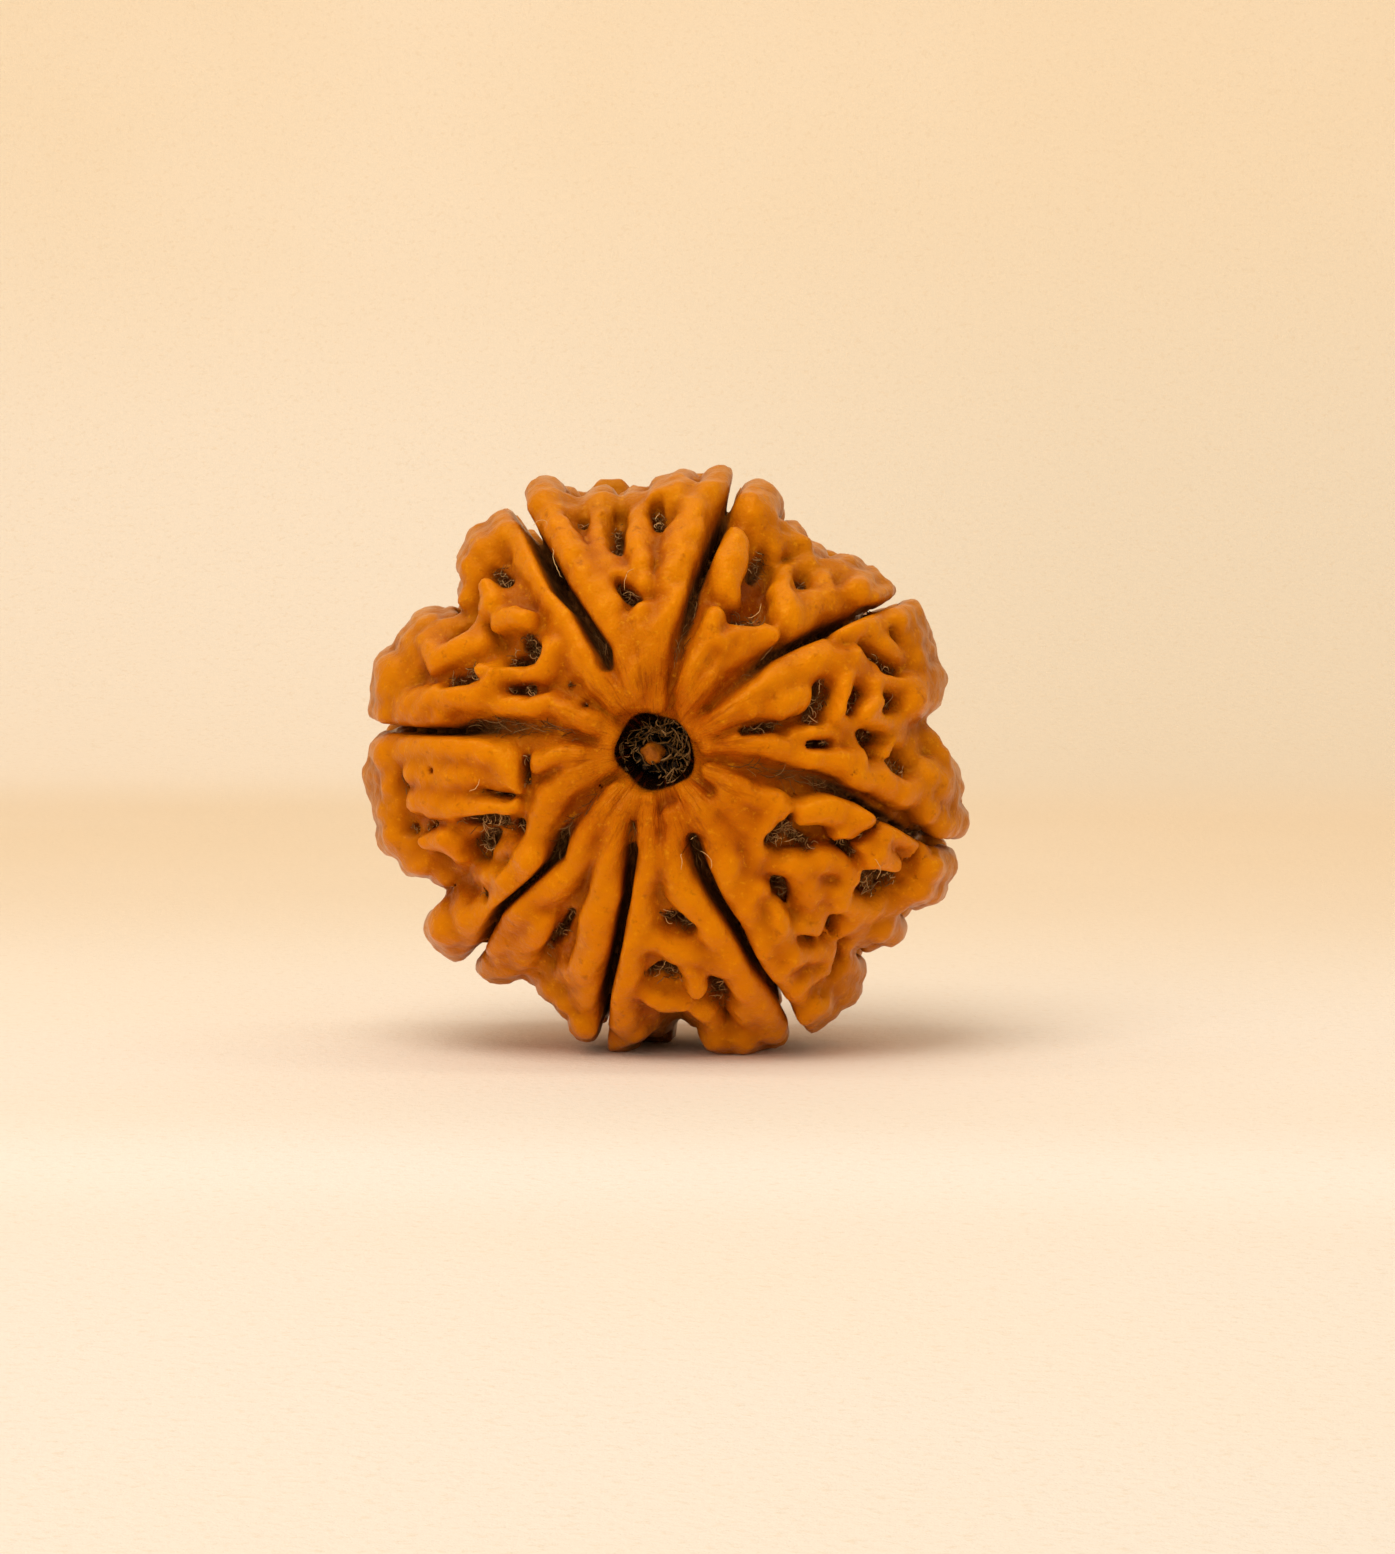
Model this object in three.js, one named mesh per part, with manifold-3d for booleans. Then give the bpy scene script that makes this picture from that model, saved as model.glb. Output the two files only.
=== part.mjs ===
// An eight mukhi rudraksha bead: the ripened stone of the fruit, standing on its rim with the hole
// that runs through its middle turned to the front. Eight clefts run from pole to pole, and the
// eight lobes between them carry a raised net of rounded ridges with small pits in its meshes.
// A strand of dried fibre still fills the hole. Millimetres, +Z up, the front is towards -Y.

import * as THREE from "three";
import { mergeVertices } from "three/addons/utils/BufferGeometryUtils.js";
import Module from "manifold-3d";

// Driving dimensions of the stone.
const HALF_THICKNESS = 9.0;
const PROFILE_POWER = 2.4;
const FUNNEL_DEPTH = 1.3;
const FUNNEL_REACH = 2.2;
const PIT_DEPTH = 1.7;
const RIDGE_HALF_HEIGHT = 0.8;
const CUT_BLEND = 0.12;
const CUT_WIDENING = 1.1;
const CLEFT_DEPTH_SHARE = 0.8;

// The valleys' depth, the ridges' blending and their fullness go from the first to the second value
// between these two distances from the hole's axis.
const CHANGE = [3.5, 6.5];
const VALLEY_DEPTHS = [0.9, 1.25];
const RIDGE_BLENDS = [0.15, 0.13];
const FULLNESSES = [1.05, 1.22];

// How far below the hole's axis the bead stands; knobs that reach lower are worn flat there.
const FLOOR_DROP = 12.75;

// The hole and the fibre strand in it.
const CANAL_RADIUS = 1.2;
const MOUTH_RADIUS = 1.55;
const MOUTH_DEPTH = 2.6;
const CANAL_SIDES = 28;
const STRAND_CLEARANCE = 0.05;
const STRAND_FLUTE = 0.05;
const STRAND_RADIUS = CANAL_RADIUS - STRAND_CLEARANCE;
const STRAND_HALF_LENGTH = 6.3;
const STUB_RADIUS = 0.42;
const STUB_HEIGHT = 0.5;
const STUB_PLACE = [-0.15, -0.2];

// Fineness of the faceted surfaces. The relief is sampled several times as finely as it is faceted.
const STONE_SEGMENTS = 23;
const FINENESS = 5;
const SMOOTHING_PASSES = 11;
const BROAD_PASSES = 40;
const CROWDING = 0.78;
const MARCH = 0.15;
const NEARNESS = 1.5;
const STRAND_SIDES = 20;

// The outline of the lobes seen along the hole: [bearing in degrees, reach from the hole in mm].
// Bearings run anticlockwise from the right, as seen from the front.
const OUTLINE = [
  [0, 10.95], [5, 10.9], [12, 11.75], [20, 11.5], [25, 11.8], [35, 11.1], [45, 10.6], [55, 10],
  [62, 10.5], [70, 11.4], [80, 11.5], [90, 11], [98, 10.5], [108, 10.8], [116, 11.7], [128, 11.5],
  [136, 11.8], [146, 10.5], [157, 11.9], [166, 12.4], [178, 12.2], [190, 12.65], [200, 12.6],
  [214, 10.4], [222, 12.8], [232, 12.2], [242, 11.5], [250, 12.1], [260, 13.2], [272, 13.1],
  [283, 13.1], [291, 13.4], [303, 13.3], [313, 12.1], [320, 12.4], [335, 12.8], [346, 12.7],
  [355, 11.9],
];

// The round bulbs that end the ropes on the rim: [right of the hole, above it, radius].
const BULBS = [
  [10.55, 1.95, 0.8], [10.75, 2.7, 0.8], [10.6, 3.8, 0.55], [10.35, 4.5, 0.57], [9.95, 5.25, 0.65],
  [9.05, 6.25, 0.43], [8.3, 6.6, 0.65], [7.4, 7, 0.8], [6, 7.6, 0.6], [5.1, 8.5, 0.6],
  [3.8, 9.85, 0.95], [2.15, 10.65, 0.75], [0.7, 10.7, 0.55], [-0.05, 10.4, 0.62], [-1.15, 9.95, 0.6],
  [-2.75, 9.85, 0.74], [-5.05, 10.05, 0.88], [-6.6, 8.75, 0.85], [-7.5, 8.3, 0.75],
  [-8.05, 7.5, 0.66], [-8, 6.3, 0.62], [-9, 5.2, 0.35], [-9.85, 4.75, 0.82], [-10.5, 4, 0.85],
  [-11.3, 3, 0.9], [-11.5, 2.2, 0.8], [-11.6, 1.35, 0.72], [-11.75, -0.4, 0.65],
  [-11.85, -1.35, 0.75], [-11.6, -2.2, 0.7], [-11.4, -2.9, 0.85], [-11.2, -3.95, 0.9],
  [-10.4, -4.85, 0.8], [-9.3, -5.4, 0.6], [-9.1, -7.7, 0.93], [-8.75, -8.25, 0.84], [-7.2, -9.3, 0.7],
  [-6.6, -9.3, 0.72], [-5.5, -9.6, 0.45], [-4.75, -10.2, 0.6], [-3.95, -10.9, 0.6],
  [-3.35, -11.85, 0.6], [-1.85, -12.3, 0.8], [2.4, -12.4, 0.8], [3.4, -12.35, 0.8], [4.45, -12, 0.62],
  [6.05, -11.4, 0.6], [6.6, -10.9, 0.62], [7.4, -10.3, 0.68], [7.65, -9.4, 0.62], [8.4, -8.1, 0.5],
  [9.25, -7.65, 0.72], [10.35, -6.35, 0.5], [11, -5.95, 0.65], [11.35, -5.2, 0.62],
  [11.4, -4.75, 0.5], [11.85, -3.3, 0.66], [11.6, -2.95, 0.7], [11.6, -1.9, 0.64],
  [11.3, -1.25, 0.75], [10.2, -0.35, 0.66],
];

// The eight clefts, from the hole outwards: [right of the hole, above it, half width, depth].
const CLEFTS = [
  [
    [2.3, 1.9, 0.15, 0.7], [3, 2.5, 0.3, 1], [4, 3.3, 0.38, 1.3], [5, 4.15, 0.28, 1.8],
    [6, 4.6, 0.25, 2.4], [7, 5.1, 0.3, 2.8], [7.9, 5.5, 0.28, 3], [8.7, 5.72, 0.2, 3],
    [9.4, 5.87, 0.15, 3],
  ],
  [
    [0.8, 3, 0.15, 0.8], [1, 4, 0.3, 1.2], [1.2, 5, 0.35, 1.5], [1.5, 6, 0.35, 1.8],
    [1.7, 7, 0.28, 2.2], [2.05, 8, 0.25, 2.6], [2.4, 9, 0.3, 3], [2.75, 10, 0.26, 3.2],
    [3.05, 11, 0.22, 3.2],
  ],
  [
    [-1.95, 3.6, 0.35, 1.6], [-2.1, 4.2, 0.45, 2], [-2.65, 5, 0.4, 2.2], [-3.3, 6, 0.32, 2.5],
    [-4.2, 7, 0.45, 3], [-4.8, 8, 0.42, 3.4], [-5.45, 9, 0.36, 4], [-6.1, 9.95, 0.34, 4.4],
  ],
  [
    [-3.3, 0.65, 0.25, 0.9], [-4.3, 0.9, 0.5, 1.1], [-5.4, 1, 0.6, 1.2], [-6.6, 1, 0.6, 1.4],
    [-7.7, 0.95, 0.48, 1.8], [-8.8, 0.75, 0.22, 2.6], [-10, 0.7, 0.2, 3], [-11.2, 0.7, 0.18, 3],
  ],
  [
    [-2.2, -1.7, 0.15, 0.6], [-3.2, -2.7, 0.25, 1], [-3.9, -3.6, 0.42, 1.9], [-4.1, -4.3, 0.45, 2.1],
    [-4.5, -4.8, 0.25, 2.1], [-5.2, -5.5, 0.18, 2.3], [-6, -6.2, 0.2, 2.6], [-6.8, -6.9, 0.25, 3],
    [-7.35, -7.75, 0.22, 3], [-7.75, -8.65, 0.18, 3],
  ],
  [
    [-0.9, -2.9, 0.15, 0.9], [-0.9, -4, 0.33, 2], [-1.05, -5, 0.3, 2.4], [-1.15, -6, 0.25, 2.7],
    [-1.4, -7, 0.25, 3], [-1.6, -8, 0.27, 3.2], [-1.85, -9, 0.27, 3.2], [-2.15, -10, 0.27, 3.4],
    [-2.4, -11, 0.28, 3.4], [-2.5, -12, 0.22, 3.4],
  ],
  [
    [1.6, -3.6, 0.35, 1.9], [1.95, -4.8, 0.4, 2.3], [2.5, -6, 0.33, 2.7], [3.1, -7, 0.25, 2.8],
    [3.65, -8, 0.24, 3], [4.1, -9, 0.22, 3], [4.8, -10, 0.2, 3.2], [5.3, -11, 0.2, 3.2],
    [5.6, -11.8, 0.2, 3],
  ],
  [
    [3.2, -0.5, 0.2, 0.7], [4.2, -0.7, 0.42, 1], [5.4, -0.9, 0.55, 1.2], [6.6, -1.2, 0.5, 1.4],
    [7.6, -1.6, 0.25, 2], [8.6, -2.1, 0.2, 2.6], [9.5, -2.75, 0.2, 3], [10.4, -3.35, 0.2, 3],
    [11.3, -4, 0.15, 3],
  ],
];

// The lobes, anticlockwise, each between the cleft of its own number and the next. Ridges and
// pits are lines of [right of the hole, above it, half width] as seen from the front.
const LOBES = [
  { // upper right
    ridges: [
      [[1.15, 1.8, 0.35], [1.35, 2.8, 0.4], [1.75, 3.8, 0.45], [2.2, 4.7, 0.45], [2.4, 5.5, 0.3]],
      [
        [1.25, 1.3, 0.35], [1.6, 2.1, 0.4], [2.3, 3.1, 0.42], [3.1, 3.9, 0.42], [4, 4.5, 0.42],
        [4.7, 4.6, 0.32],
      ],
      [[2.7, 4.3, 0.35], [3.3, 4.75, 0.35], [4, 4.95, 0.35]],
      [[3.1, 6.2, 0.35], [2.75, 6.8, 0.5], [2.9, 7.7, 0.58], [3.15, 8.4, 0.5], [3.15, 8.7, 0.35]],
      [[3.9, 10.2, 0.7], [4.1, 9.6, 0.9], [4.4, 8.9, 0.75], [4.6, 8.5, 0.5]],
      [[5, 9.1, 0.4], [5.5, 8.7, 0.45], [5.9, 8.5, 0.35]],
      [[5.5, 7.6, 0.5], [6.3, 7.9, 0.5], [6.9, 7.7, 0.35]],
      [[5.05, 7, 0.3], [5.1, 6.3, 0.4], [5.4, 5.7, 0.5]],
      [[5.5, 5.3, 0.65], [5.9, 6, 0.55], [6.8, 5.9, 0.45], [7.8, 6.3, 0.5], [8.5, 6.6, 0.45]],
      [[6.6, 6.6, 0.4], [7.1, 7.2, 0.5], [7.7, 7.5, 0.5], [8.5, 7.1, 0.5]],
    ],
    pits: [
      [[4.2, 7.9, 0.28], [4, 7.4, 0.3]],
      [[5.8, 6.75, 0.25]],
      [[3.3, 5.3, 0.25], [4, 5.2, 0.25]],
    ],
  },
  { // top
    ridges: [
      [
        [-0.75, 2.6, 0.5], [-0.95, 3.6, 0.5], [-1.4, 4.6, 0.6], [-2, 5.7, 0.65], [-2.8, 6.8, 0.55],
        [-3.5, 7.9, 0.5], [-4.2, 8.9, 0.5], [-4.7, 9.8, 0.5], [-4.8, 10.3, 0.55],
      ],
      [[-4.8, 10.3, 0.5], [-4.2, 10.35, 0.45]],
      [
        [0.1, 2, 0.35], [0.05, 3.2, 0.45], [0, 4.2, 0.55], [0.2, 5, 0.55], [0.6, 5.7, 0.5],
        [1, 6.3, 0.3],
      ],
      [[-0.5, 2.4, 0.4], [-0.5, 3.6, 0.5], [-0.6, 4.8, 0.6], [-0.4, 5.6, 0.45]],
      [[0.3, 6.6, 0.35], [0.7, 7.2, 0.55], [0.95, 8.1, 0.7], [1.1, 8.9, 0.65], [1.5, 9.6, 0.5]],
      [[-1.1, 10.4, 0.45], [-0.85, 9.4, 0.42], [-0.8, 8.4, 0.5], [-0.6, 7.4, 0.45], [-0.5, 6.6, 0.4]],
      [[-2.55, 9.1, 0.3], [-2.6, 8.4, 0.4], [-2.3, 7.7, 0.45], [-1.7, 7.15, 0.45], [-1, 6.8, 0.4]],
      [[-4.1, 9.65, 0.4], [-3.3, 9.85, 0.33], [-2.5, 9.7, 0.3], [-2.1, 9.3, 0.28]],
      [[-3.2, 10.1, 0.35], [-2.5, 10.3, 0.45], [-1.7, 10.2, 0.45], [-1.1, 10.2, 0.4], [-0.4, 10.3, 0.4]],
      [[0.2, 10, 0.4], [0.4, 10.6, 0.45], [1, 11, 0.4], [1.5, 10.7, 0.3]],
      [[1.4, 9.7, 0.45], [1.9, 10.3, 0.45], [2.25, 10.8, 0.4]],
    ],
    pits: [
      [[-3.5, 9, 0.22], [-3.2, 9.05, 0.2]],
      [[-1.85, 9.15, 0.2], [-1.75, 8.7, 0.2], [-1.8, 8.2, 0.22]],
      [[-0.15, 9.6, 0.28], [0, 9.2, 0.26]],
      [[-1.5, 6.75, 0.15], [-1.1, 6.35, 0.28], [-0.75, 6.1, 0.22]],
    ],
  },
  { // upper left
    ridges: [
      [
        [-0.7, 3, 0.5], [-0.8, 2.1, 0.5], [-1.4, 2.1, 0.55], [-2.2, 2.9, 0.6], [-2.9, 4, 0.65],
        [-3.5, 5, 0.72], [-4, 6, 0.65], [-4.6, 7, 0.6], [-5.4, 7.9, 0.6], [-5.9, 8.5, 0.5],
      ],
      [
        [-5.4, 8.9, 0.6], [-6.2, 9, 0.7], [-7.1, 8.7, 0.8], [-7.6, 8, 0.7], [-7.9, 7.3, 0.5],
        [-7.9, 6.5, 0.5], [-7.8, 5.9, 0.4],
      ],
      [[-6.9, 6.5, 0.3], [-6.7, 5.8, 0.4]],
      [
        [-8, 5.4, 0.5], [-9, 5, 0.6], [-9.9, 4.5, 0.7], [-10.6, 3.6, 0.8], [-10.9, 2.6, 0.8],
        [-11, 1.7, 0.7], [-10.6, 1.1, 0.5],
      ],
      [
        [-9.4, 4.3, 0.35], [-9, 3.6, 0.5], [-8.3, 3.9, 0.5], [-7.4, 4.2, 0.55], [-7.1, 4.9, 0.5],
        [-6.9, 5.6, 0.4],
      ],
      [[-6.3, 5.1, 0.35], [-5.6, 5.35, 0.3], [-5.1, 5.2, 0.35]],
      [[-7, 3.15, 0.3], [-6.2, 3.2, 0.35], [-5.3, 3.1, 0.3], [-4.5, 3.2, 0.45], [-4.1, 4.2, 0.5]],
      [
        [-10.4, 1.6, 0.6], [-9.2, 1.9, 0.5], [-8.3, 2.1, 0.45], [-7.3, 2.25, 0.45], [-6.6, 2.55, 0.4],
        [-6.3, 3, 0.3],
      ],
      [
        [-7, 2.1, 0.4], [-6.1, 1.85, 0.45], [-5, 1.75, 0.4], [-4.1, 1.95, 0.45], [-3.3, 1.55, 0.45],
        [-2.4, 1.15, 0.5], [-1.75, 0.75, 0.45],
      ],
      [[-11, 1.1, 0.5], [-9.8, 1.2, 0.45], [-8.8, 1.4, 0.4]],
    ],
    pits: [
      [[-6.9, 7.2, 0.3], [-6.4, 6.9, 0.3]],
      [[-5.3, 4.4, 0.42], [-4.9, 4, 0.42], [-5.9, 3.6, 0.3]],
      [[-8.5, 2.75, 0.3], [-7.6, 2.95, 0.35]],
      [[-5.8, 2.5, 0.25], [-5.1, 2.5, 0.25]],
      [[-3.4, 2.7, 0.12]],
      [[-2.8, 1.9, 0.12]],
    ],
  },
  { // left
    ridges: [
      [
        [-10.9, -0.2, 0.5], [-9.9, 0, 0.5], [-8.8, 0.2, 0.45], [-7.8, 0.1, 0.45], [-6.8, -0.1, 0.5],
        [-6, -0.4, 0.55], [-5.6, -1, 0.5],
      ],
      [[-8.4, -1.3, 0.5], [-7.4, -0.9, 0.55], [-6.4, -0.9, 0.6]],
      [[-1.9, 0.2, 0.4], [-2.9, 0, 0.4], [-3.9, -0.15, 0.4], [-4.6, -0.4, 0.4]],
      [
        [-1.6, -0.4, 0.4], [-2.3, -0.5, 0.5], [-3.3, -1, 0.6], [-4.1, -1.7, 0.6], [-4.6, -2.6, 0.5],
        [-4.8, -3.5, 0.45], [-4.9, -4.4, 0.5],
      ],
      [
        [-10, -2.2, 0.4], [-9.3, -2.1, 0.6], [-8.4, -2.2, 0.6], [-7.6, -2.4, 0.45],
        [-6.6, -2.3, 0.35], [-5.6, -2.2, 0.3],
      ],
      [[-11, 0, 0.5], [-11.5, -0.8, 0.6], [-11.3, -1.7, 0.55]],
      [[-11.3, -2.5, 0.5], [-11.4, -3.3, 0.55], [-10.9, -4.1, 0.55]],
      [[-10.8, -4.2, 0.6], [-9.8, -4.4, 0.65], [-8.9, -4.8, 0.6], [-8.4, -5.4, 0.45]],
      [[-9.4, -3.8, 0.4], [-8.6, -3.7, 0.45], [-8, -4.2, 0.4], [-7.9, -4.9, 0.45]],
      [[-6.4, -4.1, 0.5], [-5.6, -4, 0.45], [-5, -4.4, 0.45]],
      [[-5.2, -4.7, 0.5], [-5.9, -5.3, 0.5], [-6.8, -5.2, 0.45], [-7.6, -5.2, 0.4]],
      [[-5.9, -5.6, 0.4], [-6.6, -6.3, 0.4], [-7.3, -7, 0.5], [-8, -7.5, 0.6], [-8.3, -7.9, 0.5]],
      [[-7.9, -5.5, 0.4], [-8, -6.3, 0.45], [-8, -7, 0.5]],
      [[-8.9, -7.1, 0.6], [-8.8, -7.7, 0.65]],
    ],
    pits: [
      [[-9.1, -0.88, 0.3]],
      [[-10.5, -1.7, 0.25]],
      [[-10.3, -3.5, 0.22]],
      [[-9.2, -3.1, 0.12], [-9.6, -3.4, 0.12]],
      [[-7.3, -1.6, 0.15], [-6.6, -1.75, 0.2], [-5.7, -1.85, 0.2]],
      [[-5.2, -0.3, 0.14], [-5.2, -1.3, 0.14]],
      [[-8, -2.95, 0.15], [-7.2, -2.95, 0.35], [-6.4, -2.9, 0.4], [-5.6, -3.1, 0.35]],
      [[-6.8, -3.5, 0.42], [-7.3, -4.1, 0.45]],
      [[-7.1, -6.1, 0.18]],
    ],
  },
  { // lower left
    ridges: [
      [
        [-1.3, -1.4, 0.4], [-2, -2.2, 0.5], [-2.7, -3.2, 0.5], [-3.1, -4.1, 0.5], [-3.7, -5, 0.55],
        [-4.6, -5.7, 0.6], [-5.5, -6.5, 0.6], [-6.1, -7.2, 0.5], [-6.4, -7.9, 0.5], [-7, -8.4, 0.5],
        [-7, -9.1, 0.4], [-6.2, -9.4, 0.35],
      ],
      [[-4.8, -6.8, 0.5], [-5.2, -7.7, 0.6], [-5.8, -8.5, 0.55], [-6.6, -8.8, 0.4]],
      [
        [-0.9, -1.8, 0.4], [-1.5, -3, 0.5], [-1.7, -4.2, 0.5], [-1.9, -5.4, 0.6], [-2.2, -6.6, 0.6],
        [-2.5, -7.6, 0.6], [-2.8, -8.8, 0.55], [-3, -9.8, 0.5], [-2.9, -10.8, 0.45],
        [-2.6, -11.7, 0.4],
      ],
      [[-4.8, -9.1, 0.45], [-4.3, -9.6, 0.45], [-3.6, -9.3, 0.45]],
      [[-4.2, -10.2, 0.3]],
      [[-3.4, -9.3, 0.4], [-3.4, -10.2, 0.45], [-3.1, -11, 0.45], [-2.8, -11.7, 0.35]],
    ],
    pits: [
      [[-3.5, -6.7, 0.16], [-4, -7.6, 0.26], [-4.7, -8.4, 0.2]],
    ],
  },
  { // bottom
    ridges: [
      [
        [-0.2, -2, 0.4], [-0.2, -3.4, 0.5], [-0.3, -4.8, 0.55], [-0.6, -6, 0.5], [-0.9, -7.2, 0.5],
        [-1.1, -8.2, 0.5], [-1.3, -9.3, 0.5], [-1.5, -10.4, 0.5], [-1.5, -11.5, 0.55],
        [-1.4, -12.3, 0.6],
      ],
      [
        [0.8, -2.6, 0.5], [0.7, -4, 0.55], [1, -5.2, 0.6], [1.7, -6.2, 0.6], [2.4, -7.2, 0.6],
        [3, -8.3, 0.6], [3.5, -9.3, 0.55], [4.1, -10.3, 0.55], [4.6, -11.2, 0.5], [4.8, -11.9, 0.4],
      ],
      [[-0.8, -7.6, 0.45], [0.2, -7.8, 0.5], [1.3, -8.2, 0.55], [2.4, -8.4, 0.55], [3.2, -8.8, 0.5]],
      [[1.35, -8.9, 0.35], [1.6, -9.7, 0.35]],
      [
        [-0.6, -10, 0.35], [0.2, -10.4, 0.45], [1.2, -10.4, 0.4], [2, -10.9, 0.4], [2.2, -11.7, 0.45],
        [2.8, -12.3, 0.5], [3.6, -12.4, 0.45],
      ],
      [[3.3, -10.6, 0.4], [3.7, -11.3, 0.55], [4.4, -11.8, 0.5], [4.9, -12.3, 0.4]],
    ],
    pits: [
      [[0.6, -6.85, 0.3], [1.4, -7.1, 0.3]],
      [[-0.3, -9.3, 0.22], [0.2, -9, 0.3], [0.6, -9.3, 0.32]],
      [[2.4, -9.8, 0.3], [2.6, -10.4, 0.3]],
    ],
  },
  { // lower right
    ridges: [
      [
        [1.2, -1.4, 0.45], [1.9, -2.2, 0.6], [2.6, -3.2, 0.7], [2.9, -4.4, 0.7], [3.2, -5.4, 0.6],
        [3.7, -6.2, 0.5], [4.1, -7, 0.45], [4.4, -8, 0.45], [4.9, -8.9, 0.5], [5.4, -9.6, 0.5],
        [5.9, -10.6, 0.45], [6.1, -11.3, 0.4],
      ],
      [[3, -2, 0.6], [3.7, -2.9, 0.6], [4, -3.8, 0.5], [3.9, -4.5, 0.5]],
      [[3.6, -5.2, 0.5], [4.4, -5.5, 0.3]],
      [[2.2, -0.7, 0.35], [3, -1.2, 0.45], [4, -1.7, 0.5], [4.9, -2.1, 0.5], [5.2, -2.3, 0.4]],
      [[4.6, -2.4, 0.5], [4.3, -3.2, 0.45], [4.2, -4, 0.4]],
      [[6, -2.4, 0.4], [6.8, -2.3, 0.5], [7.7, -2.4, 0.5], [8.5, -2.7, 0.4]],
      [[7.9, -2.8, 0.45], [7.5, -3.3, 0.35]],
      [[8.3, -3.9, 0.35], [8.9, -3.5, 0.5], [9.6, -3.5, 0.45], [10.1, -3.8, 0.3]],
      [[8.6, -4.3, 0.4], [8.9, -4.2, 0.5], [9.3, -4.6, 0.45]],
      [
        [4.8, -4.6, 0.35], [5.7, -4.6, 0.45], [6.6, -4.4, 0.5], [7.4, -4.6, 0.5], [7.9, -5.1, 0.45],
        [7.5, -5.6, 0.4], [6.8, -5.6, 0.4],
      ],
      [[5.8, -4.8, 0.5], [6.2, -5.8, 0.6], [6.3, -6.6, 0.6], [6.2, -7.1, 0.5], [5.8, -7, 0.4]],
      [[4.7, -6.2, 0.3], [5, -7, 0.38], [5, -7.8, 0.42], [5.5, -8.4, 0.5]],
      [[5.2, -8.4, 0.45], [6, -8.3, 0.5], [6.7, -8.4, 0.45], [6.6, -9.1, 0.45], [5.9, -9.4, 0.5]],
      [[7, -7.3, 0.4], [7.7, -7, 0.5], [8, -7.7, 0.45], [7.7, -8.4, 0.35]],
      [[6, -10.2, 0.45], [6.8, -10.1, 0.4], [7.5, -9.6, 0.45], [7.9, -9, 0.4]],
      [[7.5, -10.2, 0.4], [6.7, -10.8, 0.45], [6.2, -11.3, 0.4]],
      [[7.4, -6.2, 0.4], [8.3, -6.6, 0.5], [9.2, -6.5, 0.5], [9.9, -6.7, 0.4]],
      [[8.4, -7.4, 0.45], [9.2, -7.6, 0.45], [9.9, -7.3, 0.4]],
      [[10.4, -4.3, 0.5], [11, -4.6, 0.5], [10.8, -5.3, 0.5], [10.1, -5.8, 0.45]],
    ],
    pits: [
      [[4.7, -3.5, 0.35], [5.1, -3.2, 0.3]],
      [[5.7, -3.5, 0.25], [6.2, -3.8, 0.25]],
      [[4.9, -5.4, 0.25], [5.2, -5.75, 0.22]],
      [[5.8, -7.6, 0.18], [6.2, -7.7, 0.18]],
      [[8.5, -5.1, 0.35], [9.2, -5.3, 0.45], [9.6, -5.4, 0.3]],
      [[8.6, -5.4, 0.3], [8.7, -5.8, 0.3]],
      [[7.5, -3.7, 0.2], [8, -4.2, 0.2]],
      [[7.2, -8.7, 0.2]],
      [[6.5, -9.8, 0.18], [7.1, -9.5, 0.15]],
    ],
  },
  { // right
    ridges: [
      [
        [1.8, 0.9, 0.4], [2.6, 1.3, 0.5], [3.6, 2, 0.6], [4.7, 2.7, 0.8], [5.8, 3.3, 0.8],
        [6.9, 3.7, 0.7], [7.9, 3.6, 0.65], [8.6, 3.1, 0.5], [8.9, 2.8, 0.35],
      ],
      [[4, 1.7, 0.4], [5, 2, 0.55], [5.8, 2.3, 0.5]],
      [
        [7.4, 4.7, 0.35], [8.3, 4.9, 0.42], [9.2, 5.2, 0.48], [9.9, 5.5, 0.45], [10.4, 5.2, 0.5],
        [10.5, 4.5, 0.45],
      ],
      [[8.7, 4.6, 0.45], [9.2, 4.2, 0.4], [9.7, 3.8, 0.35], [10.4, 3.6, 0.35], [10.9, 3.3, 0.3]],
      [[9.4, 2.65, 0.3], [10.1, 2.6, 0.45], [10.6, 2.3, 0.45]],
      [
        [8.65, 2.6, 0.33], [8.8, 2, 0.28], [8.3, 1.5, 0.35], [8.9, 1.1, 0.4], [9.8, 1.05, 0.45],
        [10.5, 1.5, 0.5],
      ],
      [[7.6, 3, 0.35], [7.5, 2.2, 0.28], [7.3, 1.5, 0.3], [7.7, 1.1, 0.35]],
      [
        [2.3, 0.2, 0.35], [3.2, 0.45, 0.45], [4.3, 0.4, 0.45], [5.3, 0.15, 0.45], [6.3, -0.25, 0.45],
        [7.3, -0.35, 0.45], [8.1, -0.5, 0.4],
      ],
      [[5.6, 0.7, 0.3], [6.3, 0.8, 0.25], [7.1, 0.7, 0.28], [7.7, 0.4, 0.3], [8, 0, 0.35]],
      [[8, -1, 0.45], [8.9, -1.1, 0.5], [9.8, -1.7, 0.5], [10.6, -1.9, 0.55], [11.1, -2.6, 0.45]],
      [[8.9, -0.1, 0.25], [9.1, 0.3, 0.28], [9.7, 0.3, 0.35], [10.4, 0.2, 0.45], [10.8, -0.2, 0.45]],
      [[10.9, 3.8, 0.4], [11.2, 3, 0.5], [11.2, 2.3, 0.5], [10.9, 1.5, 0.5], [10.6, 0.9, 0.4]],
      [[10.8, 0.9, 0.4], [11.4, 0.3, 0.45], [11.9, -0.4, 0.45]],
      [[10.9, -1.2, 0.3], [11.5, -1.5, 0.35], [12, -1.3, 0.4]],
      [[12, -2.2, 0.5], [12, -2.6, 0.5]],
    ],
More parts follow.
